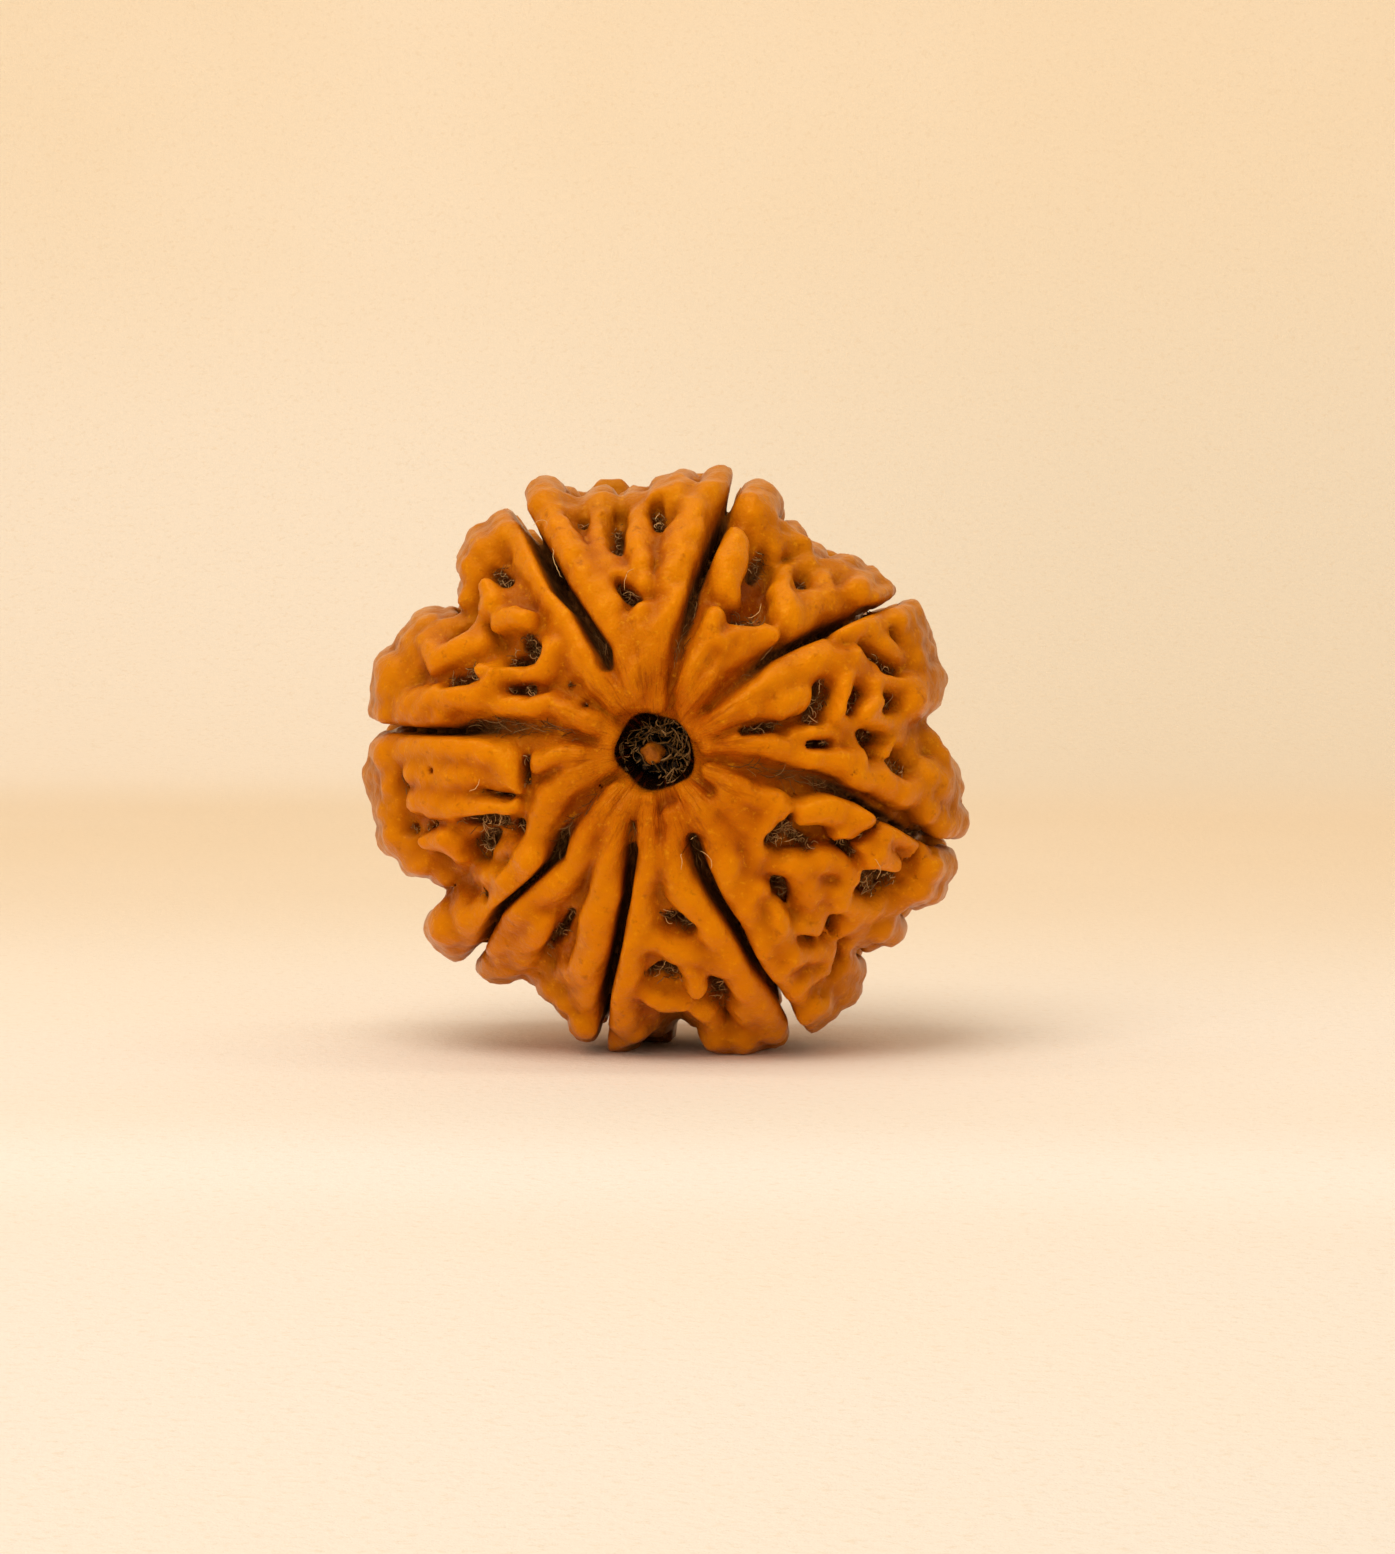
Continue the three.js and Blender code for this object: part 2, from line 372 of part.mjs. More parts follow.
    pits: [
      [[9.55, 4.9, 0.12], [9.6, 4.4, 0.15]],
      [[9, 3.6, 0.22], [9.5, 3.1, 0.28]],
      [[9.2, 1.8, 0.38]],
      [[8.1, 2.4, 0.18], [7.85, 1.8, 0.25]],
      [[6.7, 2.7, 0.25], [6.6, 2.1, 0.25], [6.4, 1.4, 0.28]],
      [[3.6, 0.85, 0.15], [4.2, 0.95, 0.22], [4.8, 1.05, 0.2]],
      [[6.1, 0.3, 0.15], [6.9, 0.3, 0.15]],
      [[8.3, 0.35, 0.22], [8.8, 0.45, 0.22]],
      [[9.4, -0.5, 0.2], [9.9, -1, 0.25]],
    ],
  },
];

// How far each cleft leans as it crosses the rim, in degrees for each millimetre to the back, and
// its half width there.
const RIM_LEAN = [0, 0.3, 0.3, 0, 0, 0, -0.43, 0];
const RIM_GAP = [0.1, 0.16, 0.36, 0.12, 0.1, 0.2, 0.24, 0.12];

// The gap between the two feet: bearing, lean in degrees for each millimetre to the back, half
// width, depth.
const FOOT_GAP = [-87.7, 0.2, 0.72, 1.5];

// The knob behind the left foot, seen dark through the gap: a rod from one point to another.
const BACK_LEG = [[-0.7, 1.2, -12.0], [-0.55, 2.6, -11.9]];
const BACK_LEG_RADIUS = 0.8;

// A ridge lies under the skin, so it is laid this much further out than the place where it is
// seen from the front, but no further than this share of the outline's reach.
const SEEN_DEPTH = 0.65;
const SEEN_LIMIT = 0.93;

// Which front lobe's net each lobe wears again on the back, turned over.
const BACK_NET = [5, 7, 6, 1, 0, 4, 2, 3];

// The knobs behind the bulbs, between the front net and the back net.
const RIM_ROWS = [1.7];
const RIM_SPACING = 1.9;
const RIM_MARGIN = 0.95;
const RIM_HALF_LENGTH = 0.55;
const RIM_RADIUS = 0.72;
const GOLDEN = 0.618034;

const lerp = THREE.MathUtils.lerp;

// Reach of the outline at a bearing, eased from one listed bearing to the next.
function outlineReach(degrees) {
  const bearing = THREE.MathUtils.euclideanModulo(degrees, 360);
  let i = OUTLINE.length - 1;
  while (i > 0 && OUTLINE[i][0] > bearing) i -= 1;
  const [from, low] = OUTLINE[i];
  const [to, high] = i + 1 < OUTLINE.length ? OUTLINE[i + 1] : [360, OUTLINE[0][1]];
  const t = (bearing - from) / (to - from);
  return lerp(low, high, t * t * (3 - 2 * t));
}

const bearingOf = (x, z) => THREE.MathUtils.radToDeg(Math.atan2(z, x));
const funnel = (rho) => FUNNEL_DEPTH * Math.exp(-((rho / FUNNEL_REACH) ** 2));

// The smooth skin that touches the crests: its gauge is 1 on the skin and under 1 inside it.
function skin(p) {
  const rho = Math.hypot(p.x, p.z);
  const reach = outlineReach(bearingOf(p.x, p.z));
  const across = rho / reach;
  const along = (Math.abs(p.y) + funnel(rho)) / HALF_THICKNESS;
  const gauge = (across ** PROFILE_POWER + along ** PROFILE_POWER) ** (1 / PROFILE_POWER);
  const ease = gauge ** (1 - PROFILE_POWER);
  const outward = (ease * across ** (PROFILE_POWER - 1)) / reach;
  const forward = (ease * along ** (PROFILE_POWER - 1)) / HALF_THICKNESS;
  const slope = Math.hypot(outward, forward);
  const normal = new THREE.Vector3(
    (outward * p.x) / (rho || 1),
    forward * Math.sign(p.y),
    (outward * p.z) / (rho || 1),
  );
  return { height: (gauge - 1) / slope, normal: normal.normalize() };
}

// A point of the skin over a place on the front (side -1) or the back (side 1).
function facePoint(x, z, side) {
  const rho = Math.hypot(x, z);
  const share = Math.min(rho / outlineReach(bearingOf(x, z)), 0.97);
  const y = HALF_THICKNESS * (1 - share ** PROFILE_POWER) ** (1 / PROFILE_POWER) - funnel(rho);
  return new THREE.Vector3(x, side * y, z);
}

// A point of the skin on the rim, at a bearing and a distance behind the middle plane.
function rimPoint(degrees, y) {
  const share = Math.abs(y) / HALF_THICKNESS;
  const rho = outlineReach(degrees) * (1 - share ** PROFILE_POWER) ** (1 / PROFILE_POWER);
  const angle = THREE.MathUtils.degToRad(degrees);
  return new THREE.Vector3(rho * Math.cos(angle), y, rho * Math.sin(angle));
}

// A measure that goes from its inner to its outer value with the distance from the hole's axis.
function outwards(p, [inner, outer]) {
  return THREE.MathUtils.mapLinear(
    THREE.MathUtils.clamp(Math.hypot(p.x, p.z), CHANGE[0], CHANGE[1]), CHANGE[0], CHANGE[1], inner, outer,
  );
}

// A stroke is a chain of stations on the skin, each with its normal, half width and height.
const station = (point, radius, height) => ({ point, radius, height, normal: skin(point).normal });

// The clefts' bearings at a reach, so that a net can be moved from one lobe to another.
function cleftBearing(index, reach) {
  const line = CLEFTS[((index % 8) + 8) % 8];
  const turns = Math.floor(index / 8) * 360;
  const reaches = line.map(([x, z]) => Math.hypot(x, z));
  const bearings = line.map(([x, z]) => THREE.MathUtils.euclideanModulo(bearingOf(x, z) - 20, 360) + 20);
  let i = 0;
  while (i < line.length - 2 && reaches[i + 1] < reach) i += 1;
  const t = THREE.MathUtils.clamp((reach - reaches[i]) / (reaches[i + 1] - reaches[i]), 0, 1);
  return lerp(bearings[i], bearings[i + 1], t) + turns;
}

// Where a place of the front net of lobe `from` lies on the back of lobe `to`.
function turnedOver([x, z], from, to) {
  const reach = Math.hypot(x, z);
  const bearing = THREE.MathUtils.euclideanModulo(bearingOf(x, z) - 20, 360) + 20;
  const start = cleftBearing(from, reach);
  const share = (bearing - start) / (cleftBearing(from + 1, reach) - start);
  const low = cleftBearing(to, reach);
  const high = cleftBearing(to + 1, reach);
  const turned = lerp(high, low, share);
  const newReach = (reach * outlineReach(turned)) / outlineReach(bearing);
  const angle = THREE.MathUtils.degToRad(turned);
  return [newReach * Math.cos(angle), newReach * Math.sin(angle)];
}

// Ridge strokes lie with their crests at the skin, so their middle line is one half height under it.
function ridgeStroke(points) {
  return points.map(({ point, radius }) => {
    const full = radius * outwards(point, FULLNESSES);
    const height = Math.max(RIDGE_HALF_HEIGHT, full);
    const placed = station(point, full, height);
    placed.point = point.clone().addScaledVector(placed.normal, -height);
    return placed;
  });
}

// The skin point under which a ridge or pit has to lie to be seen at a place from the front.
function seenPoint(x, z, side) {
  const { normal } = skin(facePoint(x, z, side));
  const rho = Math.hypot(x, z);
  const room = Math.max(0, SEEN_LIMIT * outlineReach(bearingOf(x, z)) - rho);
  const lean = Math.sign(normal.x * x + normal.z * z);
  const shift = Math.min(SEEN_DEPTH * Math.hypot(normal.x, normal.z), room) * lean;
  return facePoint(x * (1 + shift / rho), z * (1 + shift / rho), side);
}

function faceNet(kind, side) {
  return LOBES.flatMap((lobe, index) => {
    const source = side < 0 ? lobe : LOBES[BACK_NET[index]];
    return source[kind].map((line) =>
      line.map(([x, z, radius]) => {
        const place = side < 0 ? [x, z] : turnedOver([x, z], BACK_NET[index], index);
        return { point: seenPoint(...place, side), radius };
      }),
    );
  });
}

// The bulbs are thick ropes' ends that come over the rim from the front, each to its own depth.
function bulbRods() {
  const rods = BULBS.map(([x, z, radius], serial) => {
    const back = -0.3 + 0.9 * (((serial * GOLDEN) % 1) - 0.5);
    const front = -3.4 + 1.2 * (((serial * GOLDEN * 3) % 1) - 0.5);
    const points = [[0.955 * x, front, 0.955 * z], [x, -1.6, z], [x, back, z]];
    return points.map((point) => station(new THREE.Vector3(...point), radius, radius));
  });
  const leg = BACK_LEG.map((point) =>
    station(new THREE.Vector3(...point), BACK_LEG_RADIUS, BACK_LEG_RADIUS),
  );
  return [...rods, leg];
}

// Short knobs behind the bulbs, each turned its own way by the golden ratio.
function rimKnobs() {
  const knobs = [];
  LOBES.forEach((lobe, index) => {
    const low = cleftBearing(index, 99);
    const high = cleftBearing(index + 1, 99);
    const reach = outlineReach((low + high) / 2);
    const width = THREE.MathUtils.degToRad(high - low) * reach - 2 * RIM_MARGIN;
    const columns = Math.max(2, Math.round(width / RIM_SPACING) + 1);
    RIM_ROWS.forEach((row, r) => {
      for (let c = 0; c < columns; c += 1) {
        const serial = knobs.length + 1;
        const draw = (k) => ((serial * GOLDEN * k) % 1) - 0.5;
        const share = (c + (r % 2 ? 0.25 : -0.15)) / (columns - 1);
        const along = RIM_MARGIN + width * THREE.MathUtils.clamp(share, 0, 1) + 0.5 * draw(3);
        const bearing = low + THREE.MathUtils.radToDeg(along / reach);
        const turn = Math.PI * draw(1) * 1.6;
        const half = RIM_HALF_LENGTH * (1 + 0.6 * draw(2));
        const radius = RIM_RADIUS * (1 + 0.3 * draw(5));
        const middle = row + 0.7 * draw(4);
        knobs.push(
          [-1, 0, 1].map((step) => {
            const bend = 0.25 * (1 - step * step);
            const across = half * (step * Math.sin(turn) + bend * Math.cos(turn));
            const y = middle + half * (step * Math.cos(turn) - bend * Math.sin(turn));
            const degrees = bearing + THREE.MathUtils.radToDeg(across / reach);
            return { point: rimPoint(degrees, y), radius };
          }),
        );
      }
    });
  });
  return knobs;
}

// Each cleft runs over the rim and comes back to the hole along the same path on the back.
function cleftStroke(line, index) {
  const outer = line[line.length - 1];
  const bearing = bearingOf(outer[0], outer[1]);
  const lean = RIM_LEAN[index];
  const turn = THREE.MathUtils.degToRad(lean * 6);
  const onFace = (side, angle) => ([x, z, radius, depth]) =>
    station(
      facePoint(x * Math.cos(angle) - z * Math.sin(angle), x * Math.sin(angle) + z * Math.cos(angle), side),
      radius * CUT_WIDENING,
      depth * CLEFT_DEPTH_SHARE,
    );
  const rim = [-3.2, -1.6, 0, 1.6, 3.2].map((y) =>
    station(rimPoint(bearing + lean * (y + 3), y), RIM_GAP[index], outer[3] * CLEFT_DEPTH_SHARE),
  );
  return [...line.map(onFace(-1, 0)), ...rim, ...line.map(onFace(1, turn)).reverse()];
}

function footGap() {
  const [bearing, lean, width, depth] = FOOT_GAP;
  return [-4.6, -2.5, 0, 2.5, 4.6].map((y) =>
    station(rimPoint(bearing + lean * (y + 5), y), width, depth),
  );
}

function pitStroke(points) {
  return points.map(({ point, radius }) => station(point, radius * CUT_WIDENING, PIT_DEPTH));
}

const RIDGES = [
  ...[...faceNet("ridges", -1), ...faceNet("ridges", 1), ...rimKnobs()].map(ridgeStroke),
  ...bulbRods(),
];
const CUTS = [
  ...CLEFTS.map(cleftStroke),
  footGap(),
  ...faceNet("pits", -1).map(pitStroke),
  ...faceNet("pits", 1).map(pitStroke),
];

const from = new THREE.Vector3();
const step = new THREE.Vector3();
const up = new THREE.Vector3();

// Distance to one span of a stroke, whose section is an ellipse; a cut is open outwards.
function spanDistance(p, [a, b], openTop) {
  step.subVectors(b.point, a.point);
  from.subVectors(p, a.point);
  const t = THREE.MathUtils.clamp(from.dot(step) / (step.lengthSq() || 1), 0, 1);
  from.addScaledVector(step, -t);
  up.lerpVectors(a.normal, b.normal, t).normalize();
  const radius = lerp(a.radius, b.radius, t);
  const rise = from.dot(up);
  const side = from.lengthSq() - rise * rise;
  const squeezed = openTop && rise > 0 ? 0 : (rise * radius) / lerp(a.height, b.height, t);
  return Math.sqrt(Math.max(side, 0) + squeezed * squeezed) - radius;
}

function strokeDistance(p, spans, openTop) {
  let nearest = Infinity;
  for (const span of spans) nearest = Math.min(nearest, spanDistance(p, span, openTop));
  return nearest;
}

// Low swellings that keep the ridges from looking turned on a lathe.
function swelling(p) {
  return (
    0.06 * Math.sin(2.3 * p.x + 1.1 * p.y + 0.7) * Math.sin(2.1 * p.z - 1.3 * p.y) +
    0.04 * Math.sin(4.1 * p.y + 1.7 * p.z) * Math.sin(3.7 * p.x - 2.2 * p.z + 1.9)
  );
}

// Signed distance, nearly: under zero inside the stone.
function stoneField(p, ridges, cuts) {
  const { height } = skin(p);
  const blend = outwards(p, RIDGE_BLENDS);
  let sum = Math.exp(-(height + outwards(p, VALLEY_DEPTHS)) / blend);
  for (const stroke of ridges) sum += Math.exp(-strokeDistance(p, stroke, false) / blend);
  const raised = -blend * Math.log(sum) + swelling(p);
  let cut = Infinity;
  for (const stroke of cuts) cut = Math.min(cut, strokeDistance(p, stroke, true));
  if (cut > 1) return raised;
  return CUT_BLEND * Math.log(Math.exp(raised / CUT_BLEND) + Math.exp(-cut / CUT_BLEND));
}

// Spans of each stroke, each with the ball that encloses it.
function spansOf(stroke) {
  return stroke.slice(0, Math.max(1, stroke.length - 1)).map((a, i) => {
    const b = stroke[Math.min(i + 1, stroke.length - 1)];
    const middle = a.point.clone().add(b.point).multiplyScalar(0.5);
    return { ends: [a, b], middle, half: a.point.distanceTo(b.point) / 2 };
  });
}

// The spans that come near a ray from the middle, still grouped by stroke.
function spansNear(direction, strokes) {
  const near = [];
  for (const spans of strokes) {
    const kept = spans.filter(({ middle, half }) => {
      const ahead = middle.dot(direction);
      const reach = half + NEARNESS;
      return ahead > 0 && middle.lengthSq() - ahead * ahead < reach * reach;
    });
    if (kept.length) near.push(kept.map(({ ends }) => ends));
  }
  return near;
}

const RIDGE_SPANS = RIDGES.map(spansOf);
const CUT_SPANS = CUTS.map(spansOf);

// How far the stone reaches from its middle in a direction, found from outside.
function reachAlong(direction) {
  const ridges = spansNear(direction, RIDGE_SPANS);
  const cuts = spansNear(direction, CUT_SPANS);
  const p = new THREE.Vector3();
  const fieldAt = (r) => stoneField(p.copy(direction).multiplyScalar(r), ridges, cuts);
  let outside = 15;
  while (skin(p.copy(direction).multiplyScalar(outside)).height > 0.5) outside -= 0.25;
  while (outside > 2 && fieldAt(outside - MARCH) > 0) outside -= MARCH;
  let inside = outside - MARCH;
  for (let i = 0; i < 6; i += 1) {
    const middle = (inside + outside) / 2;
    if (fieldAt(middle) > 0) outside = middle;
    else inside = middle;
  }
  return inside;
}

// A ball of small triangles whose corners are shared, not yet pushed out.
function ball(segments) {
  const geometry = new THREE.IcosahedronGeometry(1, segments - 1);
  geometry.deleteAttribute("normal");
  geometry.deleteAttribute("uv");
  return mergeVertices(geometry, 1e-5);
}

const cornerKey = (v) => v.toArray().map((c) => Math.round(c * 5000)).join(",");

// The corners next to each corner.
function ringsOf(geometry) {
  const rings = Array.from({ length: geometry.attributes.position.count }, () => []);
  const index = geometry.index.array;
  for (let i = 0; i < index.length; i += 3) {
    rings[index[i]].push(index[i + 1]);
    rings[index[i + 1]].push(index[i + 2]);
    rings[index[i + 2]].push(index[i]);
  }
  return rings;
}

// Each corner's reach is drawn halfway to the mean of its neighbours', a few times over.
function smoothed(reaches, rings, passes) {
  let result = reaches;
  for (let pass = 0; pass < passes; pass += 1) {
    const last = result;
    result = last.map((reach, i) => {
      const sum = rings[i].reduce((total, j) => total + last[j], 0);
      return (reach + sum / rings[i].length) / 2;
    });
  }
  return result;
}

// The stone's relief on a ball several times finer than the faceted one.
function fineRelief() {
  const fine = ball(FINENESS * STONE_SEGMENTS);
  const rings = ringsOf(fine);
  const places = new Map();
  const directions = rings.map((ring, i) => {
    const direction = new THREE.Vector3().fromBufferAttribute(fine.attributes.position, i);
    places.set(cornerKey(direction), i);
    direction.y *= CROWDING;
    return direction.normalize();
  });
  const reaches = smoothed(directions.map(reachAlong), rings, SMOOTHING_PASSES);
  const broad = smoothed(reaches, rings, BROAD_PASSES);
  const relief = reaches.map((reach, i) => Math.abs(reach - broad[i]));
  return { rings, places, directions, reaches, relief };
}

// The corner on the sharpest crest or cleft bottom within two steps of a corner.
function sharpest(start, { rings, relief }) {
  const near = new Set([start, ...rings[start], ...rings[start].flatMap((i) => rings[i])]);
  return [...near].reduce((best, i) => (relief[i] > relief[best] ? i : best), start);
}

// The stone's faceted surface, its corners on crests and cleft bottoms wherever these pass near,
// with its lowest knobs worn flat where it stands.
function stoneGeometry() {
  const fine = fineRelief();
  const geometry = ball(STONE_SEGMENTS);
  const position = geometry.attributes.position;
  const corner = new THREE.Vector3();
  for (let i = 0; i < position.count; i += 1) {
    const chosen = sharpest(fine.places.get(cornerKey(corner.fromBufferAttribute(position, i))), fine);
    const direction = fine.directions[chosen];
    let reach = fine.reaches[chosen];
    if (direction.z < 0) reach = Math.min(reach, -FLOOR_DROP / direction.z);
    position.setXYZ(i, direction.x * reach, direction.y * reach, direction.z * reach);
  }
  return geometry;
}

// A closed body turned round the hole's axis from [distance along it, radius] stations.
function turned(stations, sides, radiusAt) {
  const points = [];
  const triangles = [];
  stations.forEach(([y, radius, lift = 0]) => {
    for (let s = 0; s < sides; s += 1) {
      const angle = (s / sides) * 2 * Math.PI;
      const r = radius * radiusAt(angle);
      points.push(r * Math.cos(angle) + lift * STUB_PLACE[0], y, r * Math.sin(angle) + lift * STUB_PLACE[1]);
    }
  });
  for (let ring = 0; ring < stations.length - 1; ring += 1) {
    for (let s = 0; s < sides; s += 1) {
      const a = ring * sides + s;
      const b = ring * sides + ((s + 1) % sides);
      triangles.push(a, a + sides, b, b, a + sides, b + sides);
    }
  }
  [0, stations.length - 1].forEach((ring) => {
    const [y, , lift = 0] = stations[ring];
    const middle = points.length / 3;
    points.push(lift * STUB_PLACE[0], y, lift * STUB_PLACE[1]);
    for (let s = 0; s < sides; s += 1) {
      const a = ring * sides + s;
      const b = ring * sides + ((s + 1) % sides);
      triangles.push(middle, ...(ring === 0 ? [a, b] : [b, a]));
    }
  });
  const geometry = new THREE.BufferGeometry();
  geometry.setAttribute("position", new THREE.Float32BufferAttribute(points, 3));
  geometry.setIndex(triangles);
  return geometry;
}

// The hole, flared at both mouths.
function canalGeometry() {
  const stations = [
    [-HALF_THICKNESS - 1, MOUTH_RADIUS * 1.35],
    [-HALF_THICKNESS + FUNNEL_DEPTH + 0.4, MOUTH_RADIUS],
    [-HALF_THICKNESS + FUNNEL_DEPTH + MOUTH_DEPTH, CANAL_RADIUS],
    [HALF_THICKNESS - FUNNEL_DEPTH - MOUTH_DEPTH, CANAL_RADIUS],
    [HALF_THICKNESS - FUNNEL_DEPTH - 0.4, MOUTH_RADIUS],
    [HALF_THICKNESS + 1, MOUTH_RADIUS * 1.35],
  ];
  return turned(stations, CANAL_SIDES, () => 1);
}

// The dried strand: a fluted bundle that ends in a frayed stub a little below the hole's middle.
function strandGeometry() {
  const half = STRAND_HALF_LENGTH;
  const stub = [
    [half + STUB_HEIGHT, STUB_RADIUS * 0.6, 1],
    [half + STUB_HEIGHT * 0.75, STUB_RADIUS, 1],
    [half + 0.05, STUB_RADIUS * 1.1, 1],
    [half - 0.1, STRAND_RADIUS * 0.72, 0.3],
    [half - 0.45, STRAND_RADIUS],
  ];
  const front = stub.map(([y, radius, lift]) => [-y, radius, lift]);
  const fluted = (angle) => 1 - STRAND_FLUTE * Math.cos(5 * angle) ** 2;
  return turned([...front, ...stub.reverse()], STRAND_SIDES, fluted);
}

const wasm = await Module();
wasm.setup();

function toManifold(geometry) {
  return new wasm.Manifold(
    new wasm.Mesh({
      numProp: 3,
      vertProperties: Float32Array.from(geometry.attributes.position.array),
      triVerts: Uint32Array.from(geometry.index.array),
    }),
  );
}

function fromManifold(solid) {
  const { vertProperties, triVerts, numProp } = solid.getMesh();
  const points = [];
  for (let i = 0; i < vertProperties.length; i += numProp) points.push(...vertProperties.slice(i, i + 3));
  const geometry = new THREE.BufferGeometry();
  geometry.setAttribute("position", new THREE.Float32BufferAttribute(points, 3));
  geometry.setIndex(Array.from(triVerts));
  return geometry;
}

// The whole bead is moved so that it stands on the ground over the middle of its own box.
function placed(geometries) {
  const box = new THREE.Box3();
  geometries.forEach((geometry) => {
    geometry.computeBoundingBox();
    box.union(geometry.boundingBox);
  });
  const middle = box.getCenter(new THREE.Vector3());
  geometries.forEach((geometry) => {
    geometry.translate(-middle.x, -middle.y, -box.min.z);
    geometry.computeVertexNormals();
  });
  return geometries;
}

const drilled = toManifold(stoneGeometry()).subtract(toManifold(canalGeometry()));
const [stoneShape, strandShape] = placed([fromManifold(drilled), strandGeometry()]);

const group = new THREE.Group();
const stone = new THREE.Mesh(
  stoneShape,
  new THREE.MeshStandardMaterial({ color: 0xb9660f, roughness: 0.5, metalness: 0 }),
);
stone.name = "stone";
group.add(stone);

const coreStrand = new THREE.Mesh(
  strandShape,
  new THREE.MeshStandardMaterial({ color: 0x4a2810, roughness: 0.85, metalness: 0 }),
);
coreStrand.name = "core_strand";
group.add(coreStrand);

export default group;
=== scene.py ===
"""An eight mukhi rudraksha bead standing on its rim on a pale surface, seen from the front.

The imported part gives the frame. Here its two solids get finer stand-ins: the stone with its net of
rounded ridges, clefts and fibre-lined pits, and the dried strand in its hole. Every shape is worked
out in millimetres from the point where the hole's axis crosses the bead's middle plane, with x to
the right, y away from the viewer and z up, and is put in metres in the part's frame at the end.
"""

import math

import bpy
import numpy as np
from mathutils import Matrix, Vector

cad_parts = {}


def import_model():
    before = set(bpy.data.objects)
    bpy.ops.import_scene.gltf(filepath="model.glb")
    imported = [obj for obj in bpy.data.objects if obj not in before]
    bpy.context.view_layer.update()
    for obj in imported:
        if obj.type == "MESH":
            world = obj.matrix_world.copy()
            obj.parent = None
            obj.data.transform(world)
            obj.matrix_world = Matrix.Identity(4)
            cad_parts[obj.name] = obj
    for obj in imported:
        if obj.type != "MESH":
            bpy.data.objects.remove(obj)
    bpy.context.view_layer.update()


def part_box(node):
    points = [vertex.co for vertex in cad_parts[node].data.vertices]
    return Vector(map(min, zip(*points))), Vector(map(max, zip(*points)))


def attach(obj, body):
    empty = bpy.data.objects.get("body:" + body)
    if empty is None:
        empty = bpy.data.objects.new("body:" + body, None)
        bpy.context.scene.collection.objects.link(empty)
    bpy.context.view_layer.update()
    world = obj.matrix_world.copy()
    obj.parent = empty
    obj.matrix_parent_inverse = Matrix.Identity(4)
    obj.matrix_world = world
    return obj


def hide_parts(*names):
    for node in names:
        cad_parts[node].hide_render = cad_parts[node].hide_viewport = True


MM = 0.001
AXIS_PLACE = (0.081, 0.0175, 12.75)

# The smooth skin that touches the crests.
HALF_THICKNESS = 9.0
PROFILE_POWER = 2.4
FUNNEL_DEPTH = 1.3
FUNNEL_REACH = 2.2
FLOOR_DROP = 12.75

# The relief under it. Inner measures hold near the hole and outer ones near the rim.
INNER_REACH, OUTER_REACH = 3.5, 6.5
INNER_VALLEY, OUTER_VALLEY = 0.8, 0.9
EXTRA_VALLEY_RIGHT = 0.65
INNER_BLEND, OUTER_BLEND = 0.12, 0.11
INNER_FULLNESS, OUTER_FULLNESS = 1.08, 1.38
RIDGE_HALF_HEIGHT = 0.8
MOST_SUNK = 0.32
TIP_RADIUS = 0.38
# How far under the skin a line is seen, and how near to the rim it may be moved for that.
SEEN_DEPTH = 0.65
SEEN_LIMIT = 0.93

# The cuts in it: how softly their edges turn, and the width over which colours change there.
CUT_BLEND = 0.1
CUT_EDGE = 0.12
CLEFT_NARROWING = 0.82
PIT_DEPTH = 1.9
MOUTH_RADIUS = 1.5
CANAL_RADIUS = 1.12
FLARE_START, FLARE_LENGTH = 5.6, 1.4

# The grid: its step, the margins worked out round a line, and a distance that counts as far.
GRID_STEP = 0.165
RIDGE_MARGIN, CUT_MARGIN = 0.8, 0.6
FAR = 9.0
MOST_TRIANGLES = 190000

# The loose fibres, as numbers for each millimetre of width in the pits and in each cleft.
PIT_TUFT = 56
CLEFT_TUFTS = [6, 22, 55, 42, 55, 40, 45, 34]
DEEPEST_FIBRES = 2.3
MOUTH_TUFT = 165
# Empty places among the fibres in the front mouth: right of the hole, above it, radius.
MOUTH_VOIDS = [(-.95, .72, .36), (-1, -.2, .25), (-.75, -1, .5), (-.1, -1.2, .35), (-.3, 1.25, .25),
               (.6, .75, .2)]
# Long loose hairs: right of the hole, above it, heading in degrees, length, bend for each millimetre.
LONG_HAIRS = [
    (1.75, -3.3, 200, 1.7, 1.9), (1.9, -3.9, 10, 1.0, -2.2), (-3.7, 6.9, 155, 1.5, 0.2),
    (3.7, 5.3, 5, 1.1, 0.8), (-1.2, 6.4, 75, 1.1, 0.6), (-5.1, 8.9, 40, 1.0, -1.0),
    (-7.4, -1.65, 25, 0.9, 0.3), (8.8, -5.2, 60, 1.2, 1.5),
]
HAIR_LIFT = 0.12
HAIR_RADIUS = 0.016

# The strand: its grid's step, its fibres, the reach of the outermost, how softly they join, its gap
# to the stone, half the length over which it fills the hole, and the frayed ends' place and radius.
STRAND_STEP = 0.055
STRAND_FIBRES = 34
STRAND_RADIUS = 0.95
STRAND_BLEND = 0.03
STRAND_GAP = 0.02
STRAND_FULL_HALF = 5.0
STUB_MIDDLE = (-0.14, -0.18)
STUB_RADIUS = 0.36

# The golden ratio spreads things evenly without a pattern.
GOLDEN = 0.618034
GOLDEN_ANGLE = 2.399963
THIRDS_OF_A_TURN = (0, 2.0944, 4.1888)

